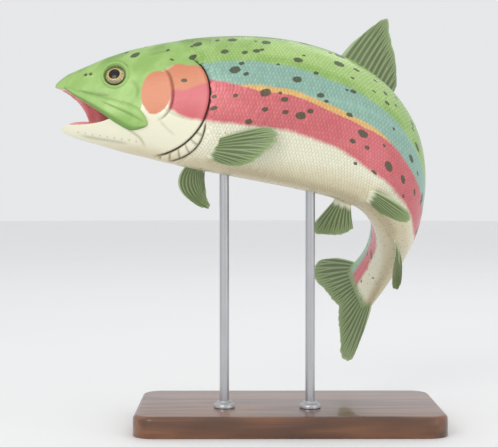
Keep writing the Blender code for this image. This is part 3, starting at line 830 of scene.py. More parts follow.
def wood_material(tint):
    """Varnished walnut with its grain along the board."""
    paint = Paint("stand_walnut", {"Coat Weight": 0.5, "Coat Roughness": 0.12})
    place = paint.object_place()
    long = paint.stretch(place, (1.6, 13.0, 13.0))
    drift = paint.noise(long, 2.2)
    rings = ((drift * 26.0 + paint.noise(long, 9.0, 2.0) * 1.2).sine() + 1) * 0.5
    fibre = paint.noise(paint.stretch(place, (16.0, 420.0, 420.0)), 1.0, 3.0, 0.6)
    colour = paint.mix(rings * 0.8, tint.wood, tint.wood_dark)
    colour = paint.mix(paint.ramp(fibre, 0.55, 0.75) * 0.6, colour, tint.wood_dark)
    return paint.done(
        colour, 0.34 + fibre * 0.18, paint.bump(fibre + rings * 0.3, 0.00012, 0.5))


def steel_material(tint):
    """Satin steel, drawn lengthwise."""
    paint = Paint("stand_satin_steel", {"IOR": 1.5, "Metallic": 1.0})
    place = paint.object_place()
    lines = paint.noise(paint.stretch(place, (1500.0, 1500.0, 14.0)), 1.0, 2.0)
    cloud = paint.noise(place, 45.0, 2.0)
    return paint.done(
        paint.mix(lines * 0.5 + cloud * 0.3, tint.steel, tint.steel_dark),
        0.24 + lines * 0.14 + cloud * 0.06, paint.bump(lines, 0.00003, 0.5))


def floor_material(tint):
    paint = Paint("studio_floor")
    place = paint.object_place()
    colour = paint.mix(paint.noise(place, 3.0, 2.0), tint.floor, tint.floor_shade)
    return paint.done(colour, 0.62 + paint.noise(place, 60.0, 2.0) * 0.1)


# ---------------------------------------------------------------- settings

def length_property(name, description, value):
    return FloatProperty(
        name=name, description=description, default=value, unit="LENGTH", precision=5)


def colour_property(name, description, value):
    """An sRGB picker; the materials take it in linear light."""
    return FloatVectorProperty(
        name=name, description=description, subtype="COLOR_GAMMA", size=3, min=0.0, max=1.0,
        default=tuple(part / 255 for part in value))


class TroutSizes(bpy.types.PropertyGroup):
    """Sizes of the skin, scales, fins and teeth."""

    skin_depth: length_property(
        "Skin depth", "How far the skin lies inside the scales' tips", 0.0003)
    scale_rows: IntProperty(
        name="Scale rows", description="Rows of scales round the body", default=112, min=20)
    scale_length: length_property(
        "Scale length", "Distance from scale to scale along a row", 0.00270)
    scale_lift: length_property(
        "Scale lift", "How far a scale's free edge stands off the skin", 0.00034)
    gill_edge: length_property(
        "Gill cover edge", "How far the gill cover stands proud at its edge", 0.0011)
    gill_slit: length_property("Gill slit", "Depth of the slit behind the gill cover", 0.0013)
    jaw_plate: length_property("Jaw plate", "Thickness of the upper jaw plates", 0.0019)
    ray_height: length_property(
        "Ray height", "How far a fin ray stands off the membrane", 0.00050)
    membrane: length_property("Membrane", "Thickness of a fin's membrane at its root", 0.0010)
    tooth_length: length_property("Tooth length", "Length of the small jaw teeth", 0.0016)


class TroutColours(bpy.types.PropertyGroup):
    """Colours of the fish and its stand."""

    back: colour_property("Back", "Green of the back and crown", (146, 186, 98))
    # pale patches in the green, and the painted highlight along the back
    back_light: colour_property("Back, light", "Lighter flecks in the green", (178, 212, 130))
    # deeper green of the ridge and flecks, and the painted shade at the jaw plates' lower edge
    back_deep_and_shade: colour_property("Back, deep", "Green along the ridge of the back", (104, 146, 66))
    flank: colour_property("Flank", "Blue-grey above the stripe", (144, 184, 168))
    line: colour_property("Line", "Warm line over the stripe", (228, 182, 112))
    stripe: colour_property("Stripe", "Rose stripe along the flank", (218, 118, 122))
    stripe_deep: colour_property("Stripe, deep", "Deeper patches in the stripe", (204, 94, 102))
    cheek: colour_property("Cheek", "Orange patch behind the eye", (214, 136, 100))
    belly: colour_property("Belly", "Cream of the belly and jaw", (236, 234, 208))
    # painted shade along the underside
    belly_painted_shade: colour_property("Belly, shade", "Tan along the underside", (222, 212, 178))
    spot: colour_property("Spot", "Dark olive spots", (66, 72, 48))
    scale_rim: colour_property("Scale rim", "Darker free edge of a scale", (176, 172, 158))
    # painted sheen on the scales
    painted_sheen: colour_property("Sheen", "Silver sheen on the scales", (246, 248, 244))
    # painted shade in the folds, pores and grooves of the head
    crease_shade: colour_property("Crease", "Shade in the folds of the head", (120, 112, 84))
    # painted shade inside the gill slits and nostrils and round the eyes
    gill: colour_property("Gill", "Dark inside the gill slit", (70, 34, 30))
    mouth: colour_property("Mouth", "Pink lining of the mouth", (250, 184, 182))
    mouth_deep: colour_property("Mouth, deep", "Deeper folds of the lining", (230, 140, 142))
    tooth: colour_property("Tooth", "Tip of a tooth", (238, 234, 220))
    tooth_root: colour_property("Tooth root", "Root of a tooth", (222, 196, 176))
    fin: colour_property("Fin", "Olive of the fins", (136, 157, 104))
    fin_shade: colour_property("Fin, shade", "Shaded olive of the fins", (106, 124, 74))
    fin_ray: colour_property("Fin ray", "Raised rays", (158, 178, 122))
    fin_furrow: colour_property("Fin furrow", "Dark lines between the rays", (58, 70, 38))
    fin_edge: colour_property("Fin edge", "Pale leading edge", (184, 202, 156))
    iris: colour_property("Iris", "Brown-grey of the iris", (150, 132, 84))
    iris_light: colour_property("Iris, light", "Silver flecks in the iris", (226, 218, 184))
    iris_dark: colour_property("Iris, dark", "Dark rim and upper part of the iris", (44, 44, 30))
    iris_ring: colour_property("Iris ring", "Brass ring round the pupil", (232, 196, 96))
    pupil: colour_property("Pupil", "Pupil", (6, 6, 8))
    wood: colour_property("Wood", "Walnut of the base", (128, 82, 50))
    wood_dark: colour_property("Wood, dark", "Dark grain of the base", (72, 42, 26))
    steel: colour_property("Steel", "Rods and collars", (206, 206, 208))
    steel_dark: colour_property("Steel, dark", "Drawn lines on the rods", (158, 160, 164))
    floor: colour_property("Floor", "Studio floor", (244, 244, 243))
    floor_shade: colour_property("Floor, shade", "Faint clouding of the floor", (241, 241, 241))


def linear(colour):
    return tuple(p / 12.92 if p <= 0.04045 else ((p + 0.055) / 1.055) ** 2.4 for p in colour)


def tints():
    """The chosen colours in linear light, by name."""
    chosen = bpy.context.scene.trout_colours
    names = TroutColours.__annotations__
    return SimpleNamespace(**{name: linear(getattr(chosen, name)) for name in names})


def shared(name, make):
    """A material that several pieces wear, made once."""
    return bpy.data.materials.get(name) or make(tints())


def need(passed, message):
    if not passed:
        raise RuntimeError(message)


# ---------------------------------------------------------------- skin

def skin_stations():
    nose = NOSE * (1 - np.cos(np.linspace(0, math.pi / 2, 20)))
    head = np.linspace(NOSE, GILL_STATION, 200)[1:]
    trunk = np.linspace(GILL_STATION, 0.930, 126)[1:]
    end = np.linspace(0.930, BODY_END, 6)[1:]
    return np.concatenate([nose, head, trunk, end])


def skin_loft(depth):
    """Whole body as one closed, finely meshed hull."""
    stations = skin_stations()
    mesh = mesh_of(grid(len(stations) - 1, SKIN_ROWS), "trout_skin")
    unit = coordinates(mesh) + 0.5
    station = np.interp(unit[:, 0], np.linspace(0, 1, len(stations)), stations)
    angle = (unit[:, 1] * 2 - 1) * math.pi
    set_coordinates(mesh, shell(station, angle, -depth * smooth(station, 0.0, NOSE)))
    bm = opened(mesh)
    bmesh.ops.remove_doubles(bm, verts=bm.verts, dist=0.00001)
    bmesh.ops.dissolve_degenerate(bm, edges=bm.edges, dist=0.00001)
    bmesh.ops.holes_fill(bm, edges=rims(bm), sides=0)
    return link("trout_skin", written_back(bm, mesh))


def loop_tube(name, rings):
    """Closed body through rings of equal point counts."""
    last, count = len(rings) - 1, len(rings[0])
    mesh = mesh_of(grid(last, count), name)
    unit = coordinates(mesh) + 0.5
    i = np.rint(unit[:, 0] * last).astype(int)
    j = np.rint(unit[:, 1] * count).astype(int) % count
    set_coordinates(mesh, np.array(rings)[i, j])
    bm = opened(mesh)
    bmesh.ops.remove_doubles(bm, verts=bm.verts, dist=WELD)
    bmesh.ops.holes_fill(bm, edges=rims(bm), sides=0)
    bmesh.ops.triangulate(bm, faces=many_sided(bm))
    return link(name, written_back(bm, mesh))


def across_tube(name, outline, reach, steps):
    """Outline of (station, height) carried across the fish in even steps."""
    outline = np.array(outline) * FORK
    rings = []
    for width in np.linspace(-reach, reach, steps):
        rings.append(np.column_stack([outline[:, 0], np.full(len(outline), width), outline[:, 1]]))
    return loop_tube(name, rings)


def carve(target, cutter):
    change = target.modifiers.new("carve", "BOOLEAN")
    change.operation = "DIFFERENCE"
    change.object = cutter
    change.solver = "EXACT"
    graph = bpy.context.evaluated_depsgraph_get()
    mesh = bpy.data.meshes.new_from_object(target.evaluated_get(graph))
    target.modifiers.clear()
    target.data = mesh
    bpy.data.objects.remove(cutter)
    need(len(mesh.polygons) > 0, "the skin was lost while its mouth was cut")


def mouth_cutters():
    """Gap between the lips, the room beside the narrower lower jaw, and the hollow of the mouth."""
    upper = dense(UPPER_LIP, 52)
    lower = dense(LOWER_LIP, 48)[::-1][1:]
    yield across_tube("mouth_gap", np.concatenate([upper, lower, MOUTH_FRONT]), 0.05, 81)

    plan = dense(JAW_PLAN, 40) * FORK
    for side in (-1, 1):
        edge = [(x, side * y) for x, y in plan]
        edge += [(0.105 * FORK, side * 0.045), (-0.010, side * 0.045), (-0.010, 0.0)]
        rings = []
        for height in np.linspace(-0.075, -0.0540 * FORK, 44):
            rings.append([(x, y, height) for x, y in edge])
        yield loop_tube("jaw_side", rings)

    lip = Curve(UPPER_LIP)
    turns = np.linspace(0, 2 * math.pi, 72, endpoint=False)
    rings = []
    for station in np.linspace(0.016, 0.160, 70):
        top = lip(min(station, 0.106))[0] * FORK
        floor = (-0.070 + 0.004 * (station - 0.016) / 0.144) * FORK
        close = math.sqrt(max(0.0004, 1 - ((station - 0.075) / 0.0853) ** 2))
        half = abs(float(flank(np.array(station), np.array(top), 1)[1])) - 0.0030
        half *= close
        high, low = top + 0.006, floor - 0.0035
        middle = (high + low) / 2
        tall = (high - low) / 2 * (0.55 + 0.45 * close)
        rings.append([
            (station * FORK, half * math.sin(turn), middle + tall * math.cos(turn))
            for turn in turns])
    yield loop_tube("mouth_hollow", rings)


def round_lips(mesh):
    """Soften the cut edges round the mouth."""
    bm = opened(mesh)
    bmesh.ops.remove_doubles(bm, verts=bm.verts, dist=0.00008)
    bmesh.ops.dissolve_degenerate(bm, edges=bm.edges, dist=0.00005)
    bmesh.ops.triangulate(bm, faces=many_sided(bm))
    reach = LIP_END * FORK
    sharp = [e for e in bm.edges if e.is_manifold and e.verts[0].co.x < reach
             and e.calc_face_angle(0.0) > math.radians(28)]
    near = {v for e in sharp for v in e.verts}
    for _ in range(2):
        near |= {e.other_vert(v) for v in near for e in v.link_edges}
    near = [v for v in near if v.co.x < reach]
    for _ in range(7):
        bmesh.ops.smooth_vert(
            bm, verts=near, factor=0.5, use_axis_x=True, use_axis_y=True, use_axis_z=True)
    written_back(bm, mesh)


def bell(distance, width):
    return np.exp(-((distance / width) ** 2))


def gill_relief(station, height, sizes):
    """Relief of the gill cover's edge and its membrane: height, painted crease shade between the
    membrane's rays, seams and the web's span.
    """
    gill, along = line_distance(station, height, GILL_EDGE)
    run = smooth(along, 0.00, 0.14) * smooth(along, 1.0, 0.88)
    inside = smooth(gill, -0.0016, 0.0006)
    plate = sizes.gill_edge * np.exp(-np.maximum(gill, 0) / 0.0075)
    behind = -0.35 * sizes.gill_edge * np.exp(-np.maximum(-gill, 0) / 0.006)
    rise = (plate * inside + behind * (1 - inside)) * run
    rise -= sizes.gill_slit * bell(gill + 0.0016, 0.0014) * run
    membrane, share = line_distance(station, height, MEMBRANE_EDGE)
    span = smooth(share, 0.0, 0.10) * smooth(share, 1.0, 0.92)
    between = smooth(-gill, 0.0008, 0.0022) * smooth(membrane, -0.0004, 0.0008) * span
    rays = 1 - bell(np.abs(np.cos(share * math.pi * 8.0)), 0.34)
    rise += between * (0.0001 + 0.0009 * rays)
    outer = bell(membrane + 0.0009, 0.0011) * span
    rise -= sizes.gill_slit * outer * 0.9
    seams = [np.clip(line, -GILL_REACH, GILL_REACH) * 1000 for line in (gill, membrane)]
    return rise, between * (1 - rays), np.column_stack([*seams, run]), span


def head_relief(station, height, sizes):
    """Height of the head's relief in metres, the painted shade of its slits and creases, and its
    seams.
    """
    rise, crease_shade, seams, webbed = gill_relief(station, height, sizes)
    fore, share = line_distance(station, height, PREOPERCLE)
    run = smooth(share, 0.0, 0.15) * smooth(share, 1.0, 0.8)
    rise += run * (0.0006 * np.exp(-np.abs(fore) / 0.0035) * (fore > 0))
    # painted crease shade follows the preopercle groove and the folds below
    groove = bell(fore + 0.0008, 0.0008) * run
    rise -= 0.0012 * groove
    crease_shade = np.maximum(crease_shade, groove)
    for rows, depth, width in FOLDS:
        fold, share = line_distance(station, height, rows)
        cut = bell(fold, width) * smooth(share, 0.0, 0.25) * smooth(share, 1.0, 0.75)
        rise -= depth * cut
        crease_shade = np.maximum(crease_shade, cut * min(1.0, depth / 0.0007))

    across = (station - EYE_PLACE[0]) * FORK
    up = (height - EYE_PLACE[1]) * FORK
    ring = np.hypot(across, up)
    rise -= 0.0060 * smooth(ring, 0.0094, 0.0078)
    rise += 0.0005 * bell(ring - 0.0150, 0.0035) * smooth(up, -0.004, 0.006)
    # slit: painted shade in the nostrils
    slit = 0 * rise
    for (s, h), depth in NOSTRILS:
        hole = np.hypot(station - s, (height - h) * 1.25) * FORK
        rise -= depth * smooth(hole, 0.0018, 0.0006)
        rise += 0.0004 * bell(hole - 0.0024, 0.0007)
        slit = np.maximum(slit, 0.9 * smooth(hole, 0.0018, 0.0009))
    for s, h in JAW_PORES:
        hole = np.hypot(station - s, height - h) * FORK
        rise -= 0.0003 * smooth(hole, 0.0010, 0.0003)
        # painted shade in the jaw pores
        crease_shade = np.maximum(crease_shade, 0.7 * smooth(hole, 0.0009, 0.0004))
    return rise, slit, crease_shade, seams, webbed


def fin_swell(straight):
    """Height of the flesh round the roots of the fins, in metres."""
    rise = np.zeros(len(straight))
    for name, fin in FINS.items():
        if name.startswith("caudal"):
            continue
        start, end = fin.base
        step = end - start
        share = np.clip((straight - start) @ step / (step @ step), 0, 1)
        gap = np.linalg.norm(straight - start - share[:, None] * step, axis=1)
        paired = abs(start[1]) > 0
        tall, wide = (0.0015, 0.0055) if paired else (0.0011, 0.0045)
        rise = np.maximum(rise, tall * bell(gap, wide))
    return rise


class TROUT_OT_skin(bpy.types.Operator):
    """Make the one skin over head and body, with the mouth, gill covers and folds"""

    bl_idname = "trout.skin"
    bl_label = "Skin"

    def execute(self, context):
        sizes = context.scene.trout_sizes
        skin = skin_loft(sizes.skin_depth)
        for cutter in mouth_cutters():
            carve(skin, cutter)
        mesh = skin.data
        round_lips(mesh)
        straight = coordinates(mesh)
        station = np.clip(straight[:, 0] / FORK, 0, BODY_END)
        height = straight[:, 2] / FORK
        side = np.where(straight[:, 1] < 0, -1.0, 1.0)
        hull = flank(station, straight[:, 2], side)
        below = np.abs(hull[:, 1]) - np.abs(straight[:, 1])
        top, under, _, _ = section(station)
        below = np.minimum(below, np.minimum(top - straight[:, 2], straight[:, 2] - under) + 0.0006)
        inner = smooth(below, 0.0010, 0.0030) * (station < MOUTH_END)
        rise, slit, crease_shade, seams, webbed = head_relief(station, height, sizes)
        outer = 1 - smooth(below, 0.0008, 0.0022) * (station < MOUTH_END)
        flat = smooth(np.abs(straight[:, 1]), 0.003, 0.009)
        rise = rise * outer * flat + fin_swell(straight)
        moved = straight + normals(mesh) * rise[:, None]
        chart_marks(mesh, straight)
        mark(mesh, "lining", inner)
        mark(mesh, "seams", seams)
        # slit and crease_shade carry painted shade
        for name, values in (("slit", slit), ("crease_shade", crease_shade), ("webbed", webbed)):
            mark(mesh, name, values * outer * flat)
        set_coordinates(mesh, bend(moved))
        mesh.name = "trout_skin"
        bpy.data.objects.remove(skin)
        add_piece("trout_skin", mesh, shared("wet_skin", bare_skin), FLESH)
        return {"FINISHED"}


# ---------------------------------------------------------------- scales

def scale_template():
    """One scale: an outline fanned to a raised middle above, closed flat below."""
    bm = bmesh.new()
    for _ in range(2):
        bmesh.ops.create_circle(
            bm, cap_ends=True, cap_tris=True, segments=SCALE_CORNERS, radius=1.0)
    bmesh.ops.dissolve_faces(bm, faces=list(bm.faces)[SCALE_CORNERS:])
    bmesh.ops.reverse_faces(bm, faces=many_sided(bm))
    bmesh.ops.remove_doubles(bm, verts=[v for v in bm.verts if v.co.length > 0.5], dist=0.0001)
    need(len(bm.faces) == SCALE_CORNERS + 1, "a scale's outline was not closed")
    return mesh_of(bm, "scale_template")


def scale_length_at(station, sizes):
    """A scale's length in fork lengths: shorter where the body is slim."""
    top, under, _, _ = section(station)
    slim = np.clip((top - under) / FORK / DEEP, 0.35, 1.0)
    return sizes.scale_length / FORK * (0.70 + 0.30 * slim)


def point_height(roots):
    return shell(roots[:, 0], roots[:, 1])[:, 2] / FORK


def scale_roots(sizes, side):
    """Station and angle of every scale on one side, in staggered columns."""
    rng = np.random.default_rng(SEED + side)
    half = sizes.scale_rows // 2
    rows = []
    station, last = SCALED
    while station < last:
        angles = (np.arange(0, half, 2) + 0.5 + len(rows) % 2) * (math.pi / half)
        angles = angles[angles < math.pi]
        rows.append(np.column_stack([np.full(len(angles), station), angles]))
        station += scale_length_at(station, sizes) / 2
    roots = np.concatenate(rows)
    roots = roots[roots[:, 0] > scale_front(point_height(roots)) + SCALE_GAP]
    jitter = rng.normal(0, 1, roots.shape) * (0.00010, 0.0035)
    return (roots + jitter) * (1, side), rng


def repeated(name, template, points):
    """Mesh of many copies of a template, over the points given for all of them."""
    size = len(template.vertices)
    faces = [tuple(p.vertices) for p in template.polygons]
    count = len(points) // size
    corners = np.concatenate([np.array(face) for face in faces])
    index = (corners[None, :] + np.arange(count)[:, None] * size).ravel()
    ends = np.cumsum(np.tile([len(face) for face in faces], count))
    mesh = bpy.data.meshes.new(name)
    mesh.vertices.add(len(points))
    mesh.loops.add(len(index))
    mesh.polygons.add(len(ends))
    mesh.vertices.foreach_set("co", points.ravel())
    mesh.loops.foreach_set("vertex_index", index.astype(np.int32))
    mesh.polygons.foreach_set("loop_start", np.concatenate([[0], ends[:-1]]).astype(np.int32))
    mesh.update(calc_edges=True)
    mesh.validate()
    face_out(mesh)
    return mesh


def scale_coat(side, sizes, material):
    """All scales of one side as one mesh, each a copy of the template laid along the skin."""
    template = scale_template()
    shape = coordinates(template)
    roots, rng = scale_roots(sizes, side)
    count = len(roots)
    along, across = shape[:, 0], shape[:, 1]
    centre = np.hypot(along, across) < 0.5
    across = across * (1 - 0.16 * np.maximum(0, -along))
    row_step = 2 * math.pi / sizes.scale_rows
    length = scale_length_at(roots[:, 0], sizes) * 0.93
    tilt = 1 + rng.normal(0, 0.10, count)
    tone = rng.random(count)
    station = roots[:, 0:1] + along[None, :] * length[:, None]
    angle = (roots[:, 1:2] + across[None, :] * row_step * 1.10).ravel()
    lift = -0.00012 + (sizes.scale_lift + 0.00012) * (along * 0.5 + 0.5)
    lift = lift[None, :] * tilt[:, None] + centre[None, :] * 0.00010
    sensory = np.abs(point_height(roots) - 0.006) < 0.0032
    lift = lift + (centre[None, :] & sensory[:, None]) * 0.00030
    station = np.clip(station, 0, BODY_END).ravel()
    lift = lift.ravel() - sizes.skin_depth
    lift = lift + fin_swell(shell(station, angle, lift))
    straight = shell(station, angle, lift)
    name = "scales_left" if side < 0 else "scales_right"
    mesh = repeated(name, template, bend(straight))
    bpy.data.meshes.remove(template)
    chart_marks(mesh, straight, arc_at(station, angle), np.full(len(station), 0.01))
    # tone: random per scale, for roughness, metallic and the painted sheen
    mark(mesh, "tone", np.repeat(tone, len(shape)))
    mark(mesh, "rim", np.tile(np.where(centre, 0.0, 1.0), count))
    add_bake_map(mesh, roots, shape)
    add_piece(name, mesh, material, sharp=50)


def add_bake_map(mesh, roots, shape):
    """Unwrapped places for the scales, each scale a small patch at its root."""
    patch = 0.0015
    base_u = roots[:, 0] / BODY_END
    base_v = 0.5 + arc_at(roots[:, 0], roots[:, 1]) / (2.2 * GIRTH.max())
    u = (base_u[:, None] + shape[None, :, 0] * patch).ravel()
    v = (base_v[:, None] + shape[None, :, 1] * patch).ravel()
    corners = np.empty(len(mesh.loops), int)
    mesh.loops.foreach_get("vertex_index", corners)
    layer = mesh.uv_layers.new(name="OFBake")
    layer.data.foreach_set("uv", np.column_stack([u[corners], v[corners]]).ravel())


class TROUT_OT_scales(bpy.types.Operator):
    """Lay the overlapping scales over the body behind the gill covers"""

    bl_idname = "trout.scales"
    bl_label = "Scales"

    def execute(self, context):
        for side in (-1, 1):
            scale_coat(side, context.scene.trout_sizes, shared("scale_sheen", scaled_skin))
        return {"FINISHED"}


# ---------------------------------------------------------------- jaws, mouth and eyes

def along_line(line, share):
    """Point at a share along a line of evenly spaced points."""
    shares = np.linspace(0, 1, len(line))
    return np.column_stack([np.interp(share, shares, part) for part in line.T])


def plate_placer(side, thickness):
    """Function that sets a slab's points on an upper jaw plate."""
    top = dense(MAXILLA_TOP, 60)
    bottom = dense(MAXILLA_BOTTOM, 60)

    def place(mesh, share, out, layer):
        upper = along_line(top, share)
        lower = along_line(bottom, share)
        taper = np.sqrt(np.clip(1 - (np.maximum(share - 0.80, 0) / 0.20) ** 2, 0, 1))
        taper *= smooth(share, -0.10, 0.12)
        spread = (0.5 - out) * np.maximum(taper, 0.02)
        spot = (upper + lower) / 2 + (upper - lower) * spread[:, None]
        round_off = np.sqrt(np.clip(1 - np.abs(2 * out - 1) ** 4, 0, 1))
        round_off *= np.sqrt(np.clip(taper, 0, 1))
        round_off *= 0.50 + 0.50 * smooth(share, 0.0, 0.45)
        step = 0.0005 * smooth(out, 0.44, 0.32) * smooth(share, 0.40, 0.56)
        front = thickness * round_off + step * round_off
        lift = np.where(layer > 0, 0.0002 + front, 0.0002)
        straight = flank(spot[:, 0], spot[:, 1] * FORK, side, lift)
        chart_marks(mesh, straight)
        # painted crease shade along the plate's groove
        groove = bell(out - 0.40, 0.04) * smooth(share, 0.42, 0.56) * smooth(share, 0.97, 0.85)
        mark(mesh, "lining", np.where(layer > 0, 0.0, 1.0))
        mark(mesh, "slit", 0 * out)
        mark(mesh, "crease_shade", groove * 0.6)
        # plate: 1 on the plate, rising to 2 at its lower edge for the painted shade there
        mark(mesh, "plate", 1 + smooth(out, 0.62, 0.98))
        return bend(straight)

    return place


class TROUT_OT_jaw_plates(bpy.types.Operator):
    """Make the leaf-shaped upper jaw plates over the corners of the mouth"""

    bl_idname = "trout.jaw_plates"
    bl_label = "Upper Jaw Plates"

    def execute(self, context):
        thickness = context.scene.trout_sizes.jaw_plate
        for side, end in SIDES:
            name = "upper_jaw_plate_" + end
            mesh = slab(name, 110, 28, plate_placer(side, thickness))
            add_piece(name, mesh, shared("wet_skin", bare_skin), ("maxilla_" + end,))
        return {"FINISHED"}


def tooth_rows():
    """Side, station, height, way up and inset of the teeth along both lips."""
    upper = dense(UPPER_LIP, 100)
    lower = dense(LOWER_LIP, 100)
    for side in (-1, 1):
        for station, height in upper[14:85:5]:
            yield side, station, height - 0.0004, -1, 0.0030
        for station, height in lower[10:66:5]:
            yield side, station, height + 0.0002, 1, 0.0036


def web_place(mesh, share, out, layer):
    """Soft web in the far corner of the mouth, from the upper lip down to the lower."""
    start = 0.012 + 0.093 * share
    end = 0.062 + 0.043 * share
    upper = Curve(UPPER_LIP)(start)[:, 0]
    lower = Curve(LOWER_LIP)(end)[:, 0]
    station = start * (1 - out) + end * out
    height = (upper + 0.002) * (1 - out) + (lower - 0.002) * out
    sag = 4 * out * (1 - out) * (1 - share)
    station = station + 0.0085 * sag
    height = height + 0.0065 * sag
    fold = 0.0004 * np.sin(share * 16 + out * 5) * np.sqrt(np.clip(sag, 0, 1))
    return bend(flank(station, height * FORK, 1, -0.0016 + fold + 0.0004 * layer))


def ball(name, around, along):
    bm = bmesh.new()
    bmesh.ops.create_uvsphere(bm, u_segments=around, v_segments=along, radius=1.0)
    return mesh_of(bm, name)


def tongue():
    """Tongue with a groove down its middle."""
    mesh = ball("tongue_flesh", 48, 28)
    along, across, up = coordinates(mesh).T
    groove = 0.22 * bell(across, 0.22) * (up > 0) * smooth(along, 1.0, 0.2)
    rough = 0.05 * np.sin(along * 34) * np.sin(across * 21) * (up > 0)
    up = up - groove + rough
    width = 0.0062 * (0.80 + 0.20 * smooth(along, -1.0, 0.4))
    set_coordinates(mesh, bend(np.column_stack([
        0.062 * FORK + along * 0.0170, across * width, -0.0675 * FORK + 0.0008 + up * 0.0040])))
    return mesh


def teeth(longest):
    """Small cones along both lips, each leaning back into the mouth."""
    rng = np.random.default_rng(SEED + 7)
    bm = bmesh.new()
    for side, station, height, up, inset in tooth_rows():
        root = flank(np.array(station), np.array(height * FORK), side)
        root[1] -= side * inset
        length = longest * (0.8 + 0.35 * rng.random())
        lean = Matrix.Rotation(math.radians(18) * up, 4, "Y")
        turn = Matrix.Rotation(math.pi if up < 0 else 0.0, 4, "X")
        shape = bmesh.ops.create_cone(
            bm, cap_ends=True, segments=8, radius1=length * 0.26, radius2=length * 0.03,
            depth=length * 1.5)
        matrix = Matrix.Translation(Vector(root)) @ lean @ turn
        bmesh.ops.transform(bm, matrix=matrix, verts=shape["verts"])
    mesh = mesh_of(bm, "jaw_teeth")
    set_coordinates(mesh, bend(coordinates(mesh)))
    face_out(mesh)
    return mesh


class TROUT_OT_mouth(bpy.types.Operator):
    """Make the tongue, the web and the small teeth that the open mouth shows"""

    bl_idname = "trout.mouth"
    bl_label = "Tongue and Teeth"

    def execute(self, context):
        tint = tints()
        lining = mouth_material(tint)
        longest = context.scene.trout_sizes.tooth_length
        add_piece("tongue_flesh", tongue(), lining, ("tongue",))
        add_piece("mouth_web", slab("mouth_web", 44, 40, web_place), lining)
        add_piece("jaw_teeth", teeth(longest), tooth_material(tint))
        return {"FINISHED"}


def eye_frame(side):
    """Middle of an eye on the straight fish and its rearward, upward and outward directions."""
    station, height = EYE_PLACE
    centre, ahead, above = (
        flank(np.array(station + ds), np.array((height + dh) * FORK), side)
        for ds, dh in ((0, 0), (0.01, 0), (0, 0.004)))
    along = ahead - centre
    rise = above - centre
    normal = np.cross(along, rise)
    normal *= side * np.sign(normal[1]) / np.linalg.norm(normal)
    along /= np.linalg.norm(along)
    rise = np.cross(normal, along)
    rise *= np.sign(rise[2])
    return centre - normal * EYE_SINK, along, rise, normal


def eyeball(name, side):
    centre, along, rise, normal = eye_frame(side)
    mesh = ball(name, 64, 40)
    unit = coordinates(mesh)
    straight = centre + EYE_RADIUS * (unit[:, 0:1] * along + unit[:, 1:2] * rise)
    straight = straight + EYE_DEPTH * unit[:, 2:3] * normal
    mark(mesh, "iris", unit)
    set_coordinates(mesh, bend(straight))
    face_out(mesh)
    return mesh


def rim_placer(side):
    """Function that sets a ring's points on the rim of skin round an eye."""
    def place(mesh, share, loop):
        turn = (share % 1.0) * 2 * math.pi
        out = 1 - np.abs(2 * (loop % 1.0) - 1)
        far = 0.0081 + 0.0056 * out
        crest = -0.0017 + 0.0027 * smooth(out, 0.0, 0.42) - 0.0022 * smooth(out, 0.45, 1.0)
        brow = 0.0004 * np.maximum(0, np.sin(turn)) * bell(out - 0.45, 0.3)
        under = crest - 0.0012 * np.sqrt(smooth(out, 1.0, 0.8))
        station = EYE_PLACE[0] + np.cos(turn) * far / FORK
        height = EYE_PLACE[1] * FORK + np.sin(turn) * far
        spot = flank(station, height, side, np.where(loop % 1.0 < 0.5, crest + brow, under))
        chart_marks(mesh, spot)
        mark(mesh, "lining", 0 * out)
        # painted shade: dark where the rim meets the eyeball, with crease shade over its inner part
        mark(mesh, "slit", smooth(out, 0.13, 0.0) * 0.85)
        mark(mesh, "crease_shade", smooth(out, 0.34, 0.10))
        return bend(spot)

    return place


class TROUT_OT_eyes(bpy.types.Operator):
    """Make the eyes and the rim of skin round each"""

    bl_idname = "trout.eyes"
    bl_label = "Eyes"

    def execute(self, context):
        gloss = eye_material(tints())
        for side, end in SIDES:
            ball_name, rim_name = "eyeball_" + end, "eye_rim_" + end
            add_piece(ball_name, eyeball(ball_name, side), gloss, ("eye_" + end,))
            rim = ring_solid(rim_name, 96, 30, rim_placer(side))
            add_piece(rim_name, rim, shared("wet_skin", bare_skin))
        return {"FINISHED"}


# ---------------------------------------------------------------- fins

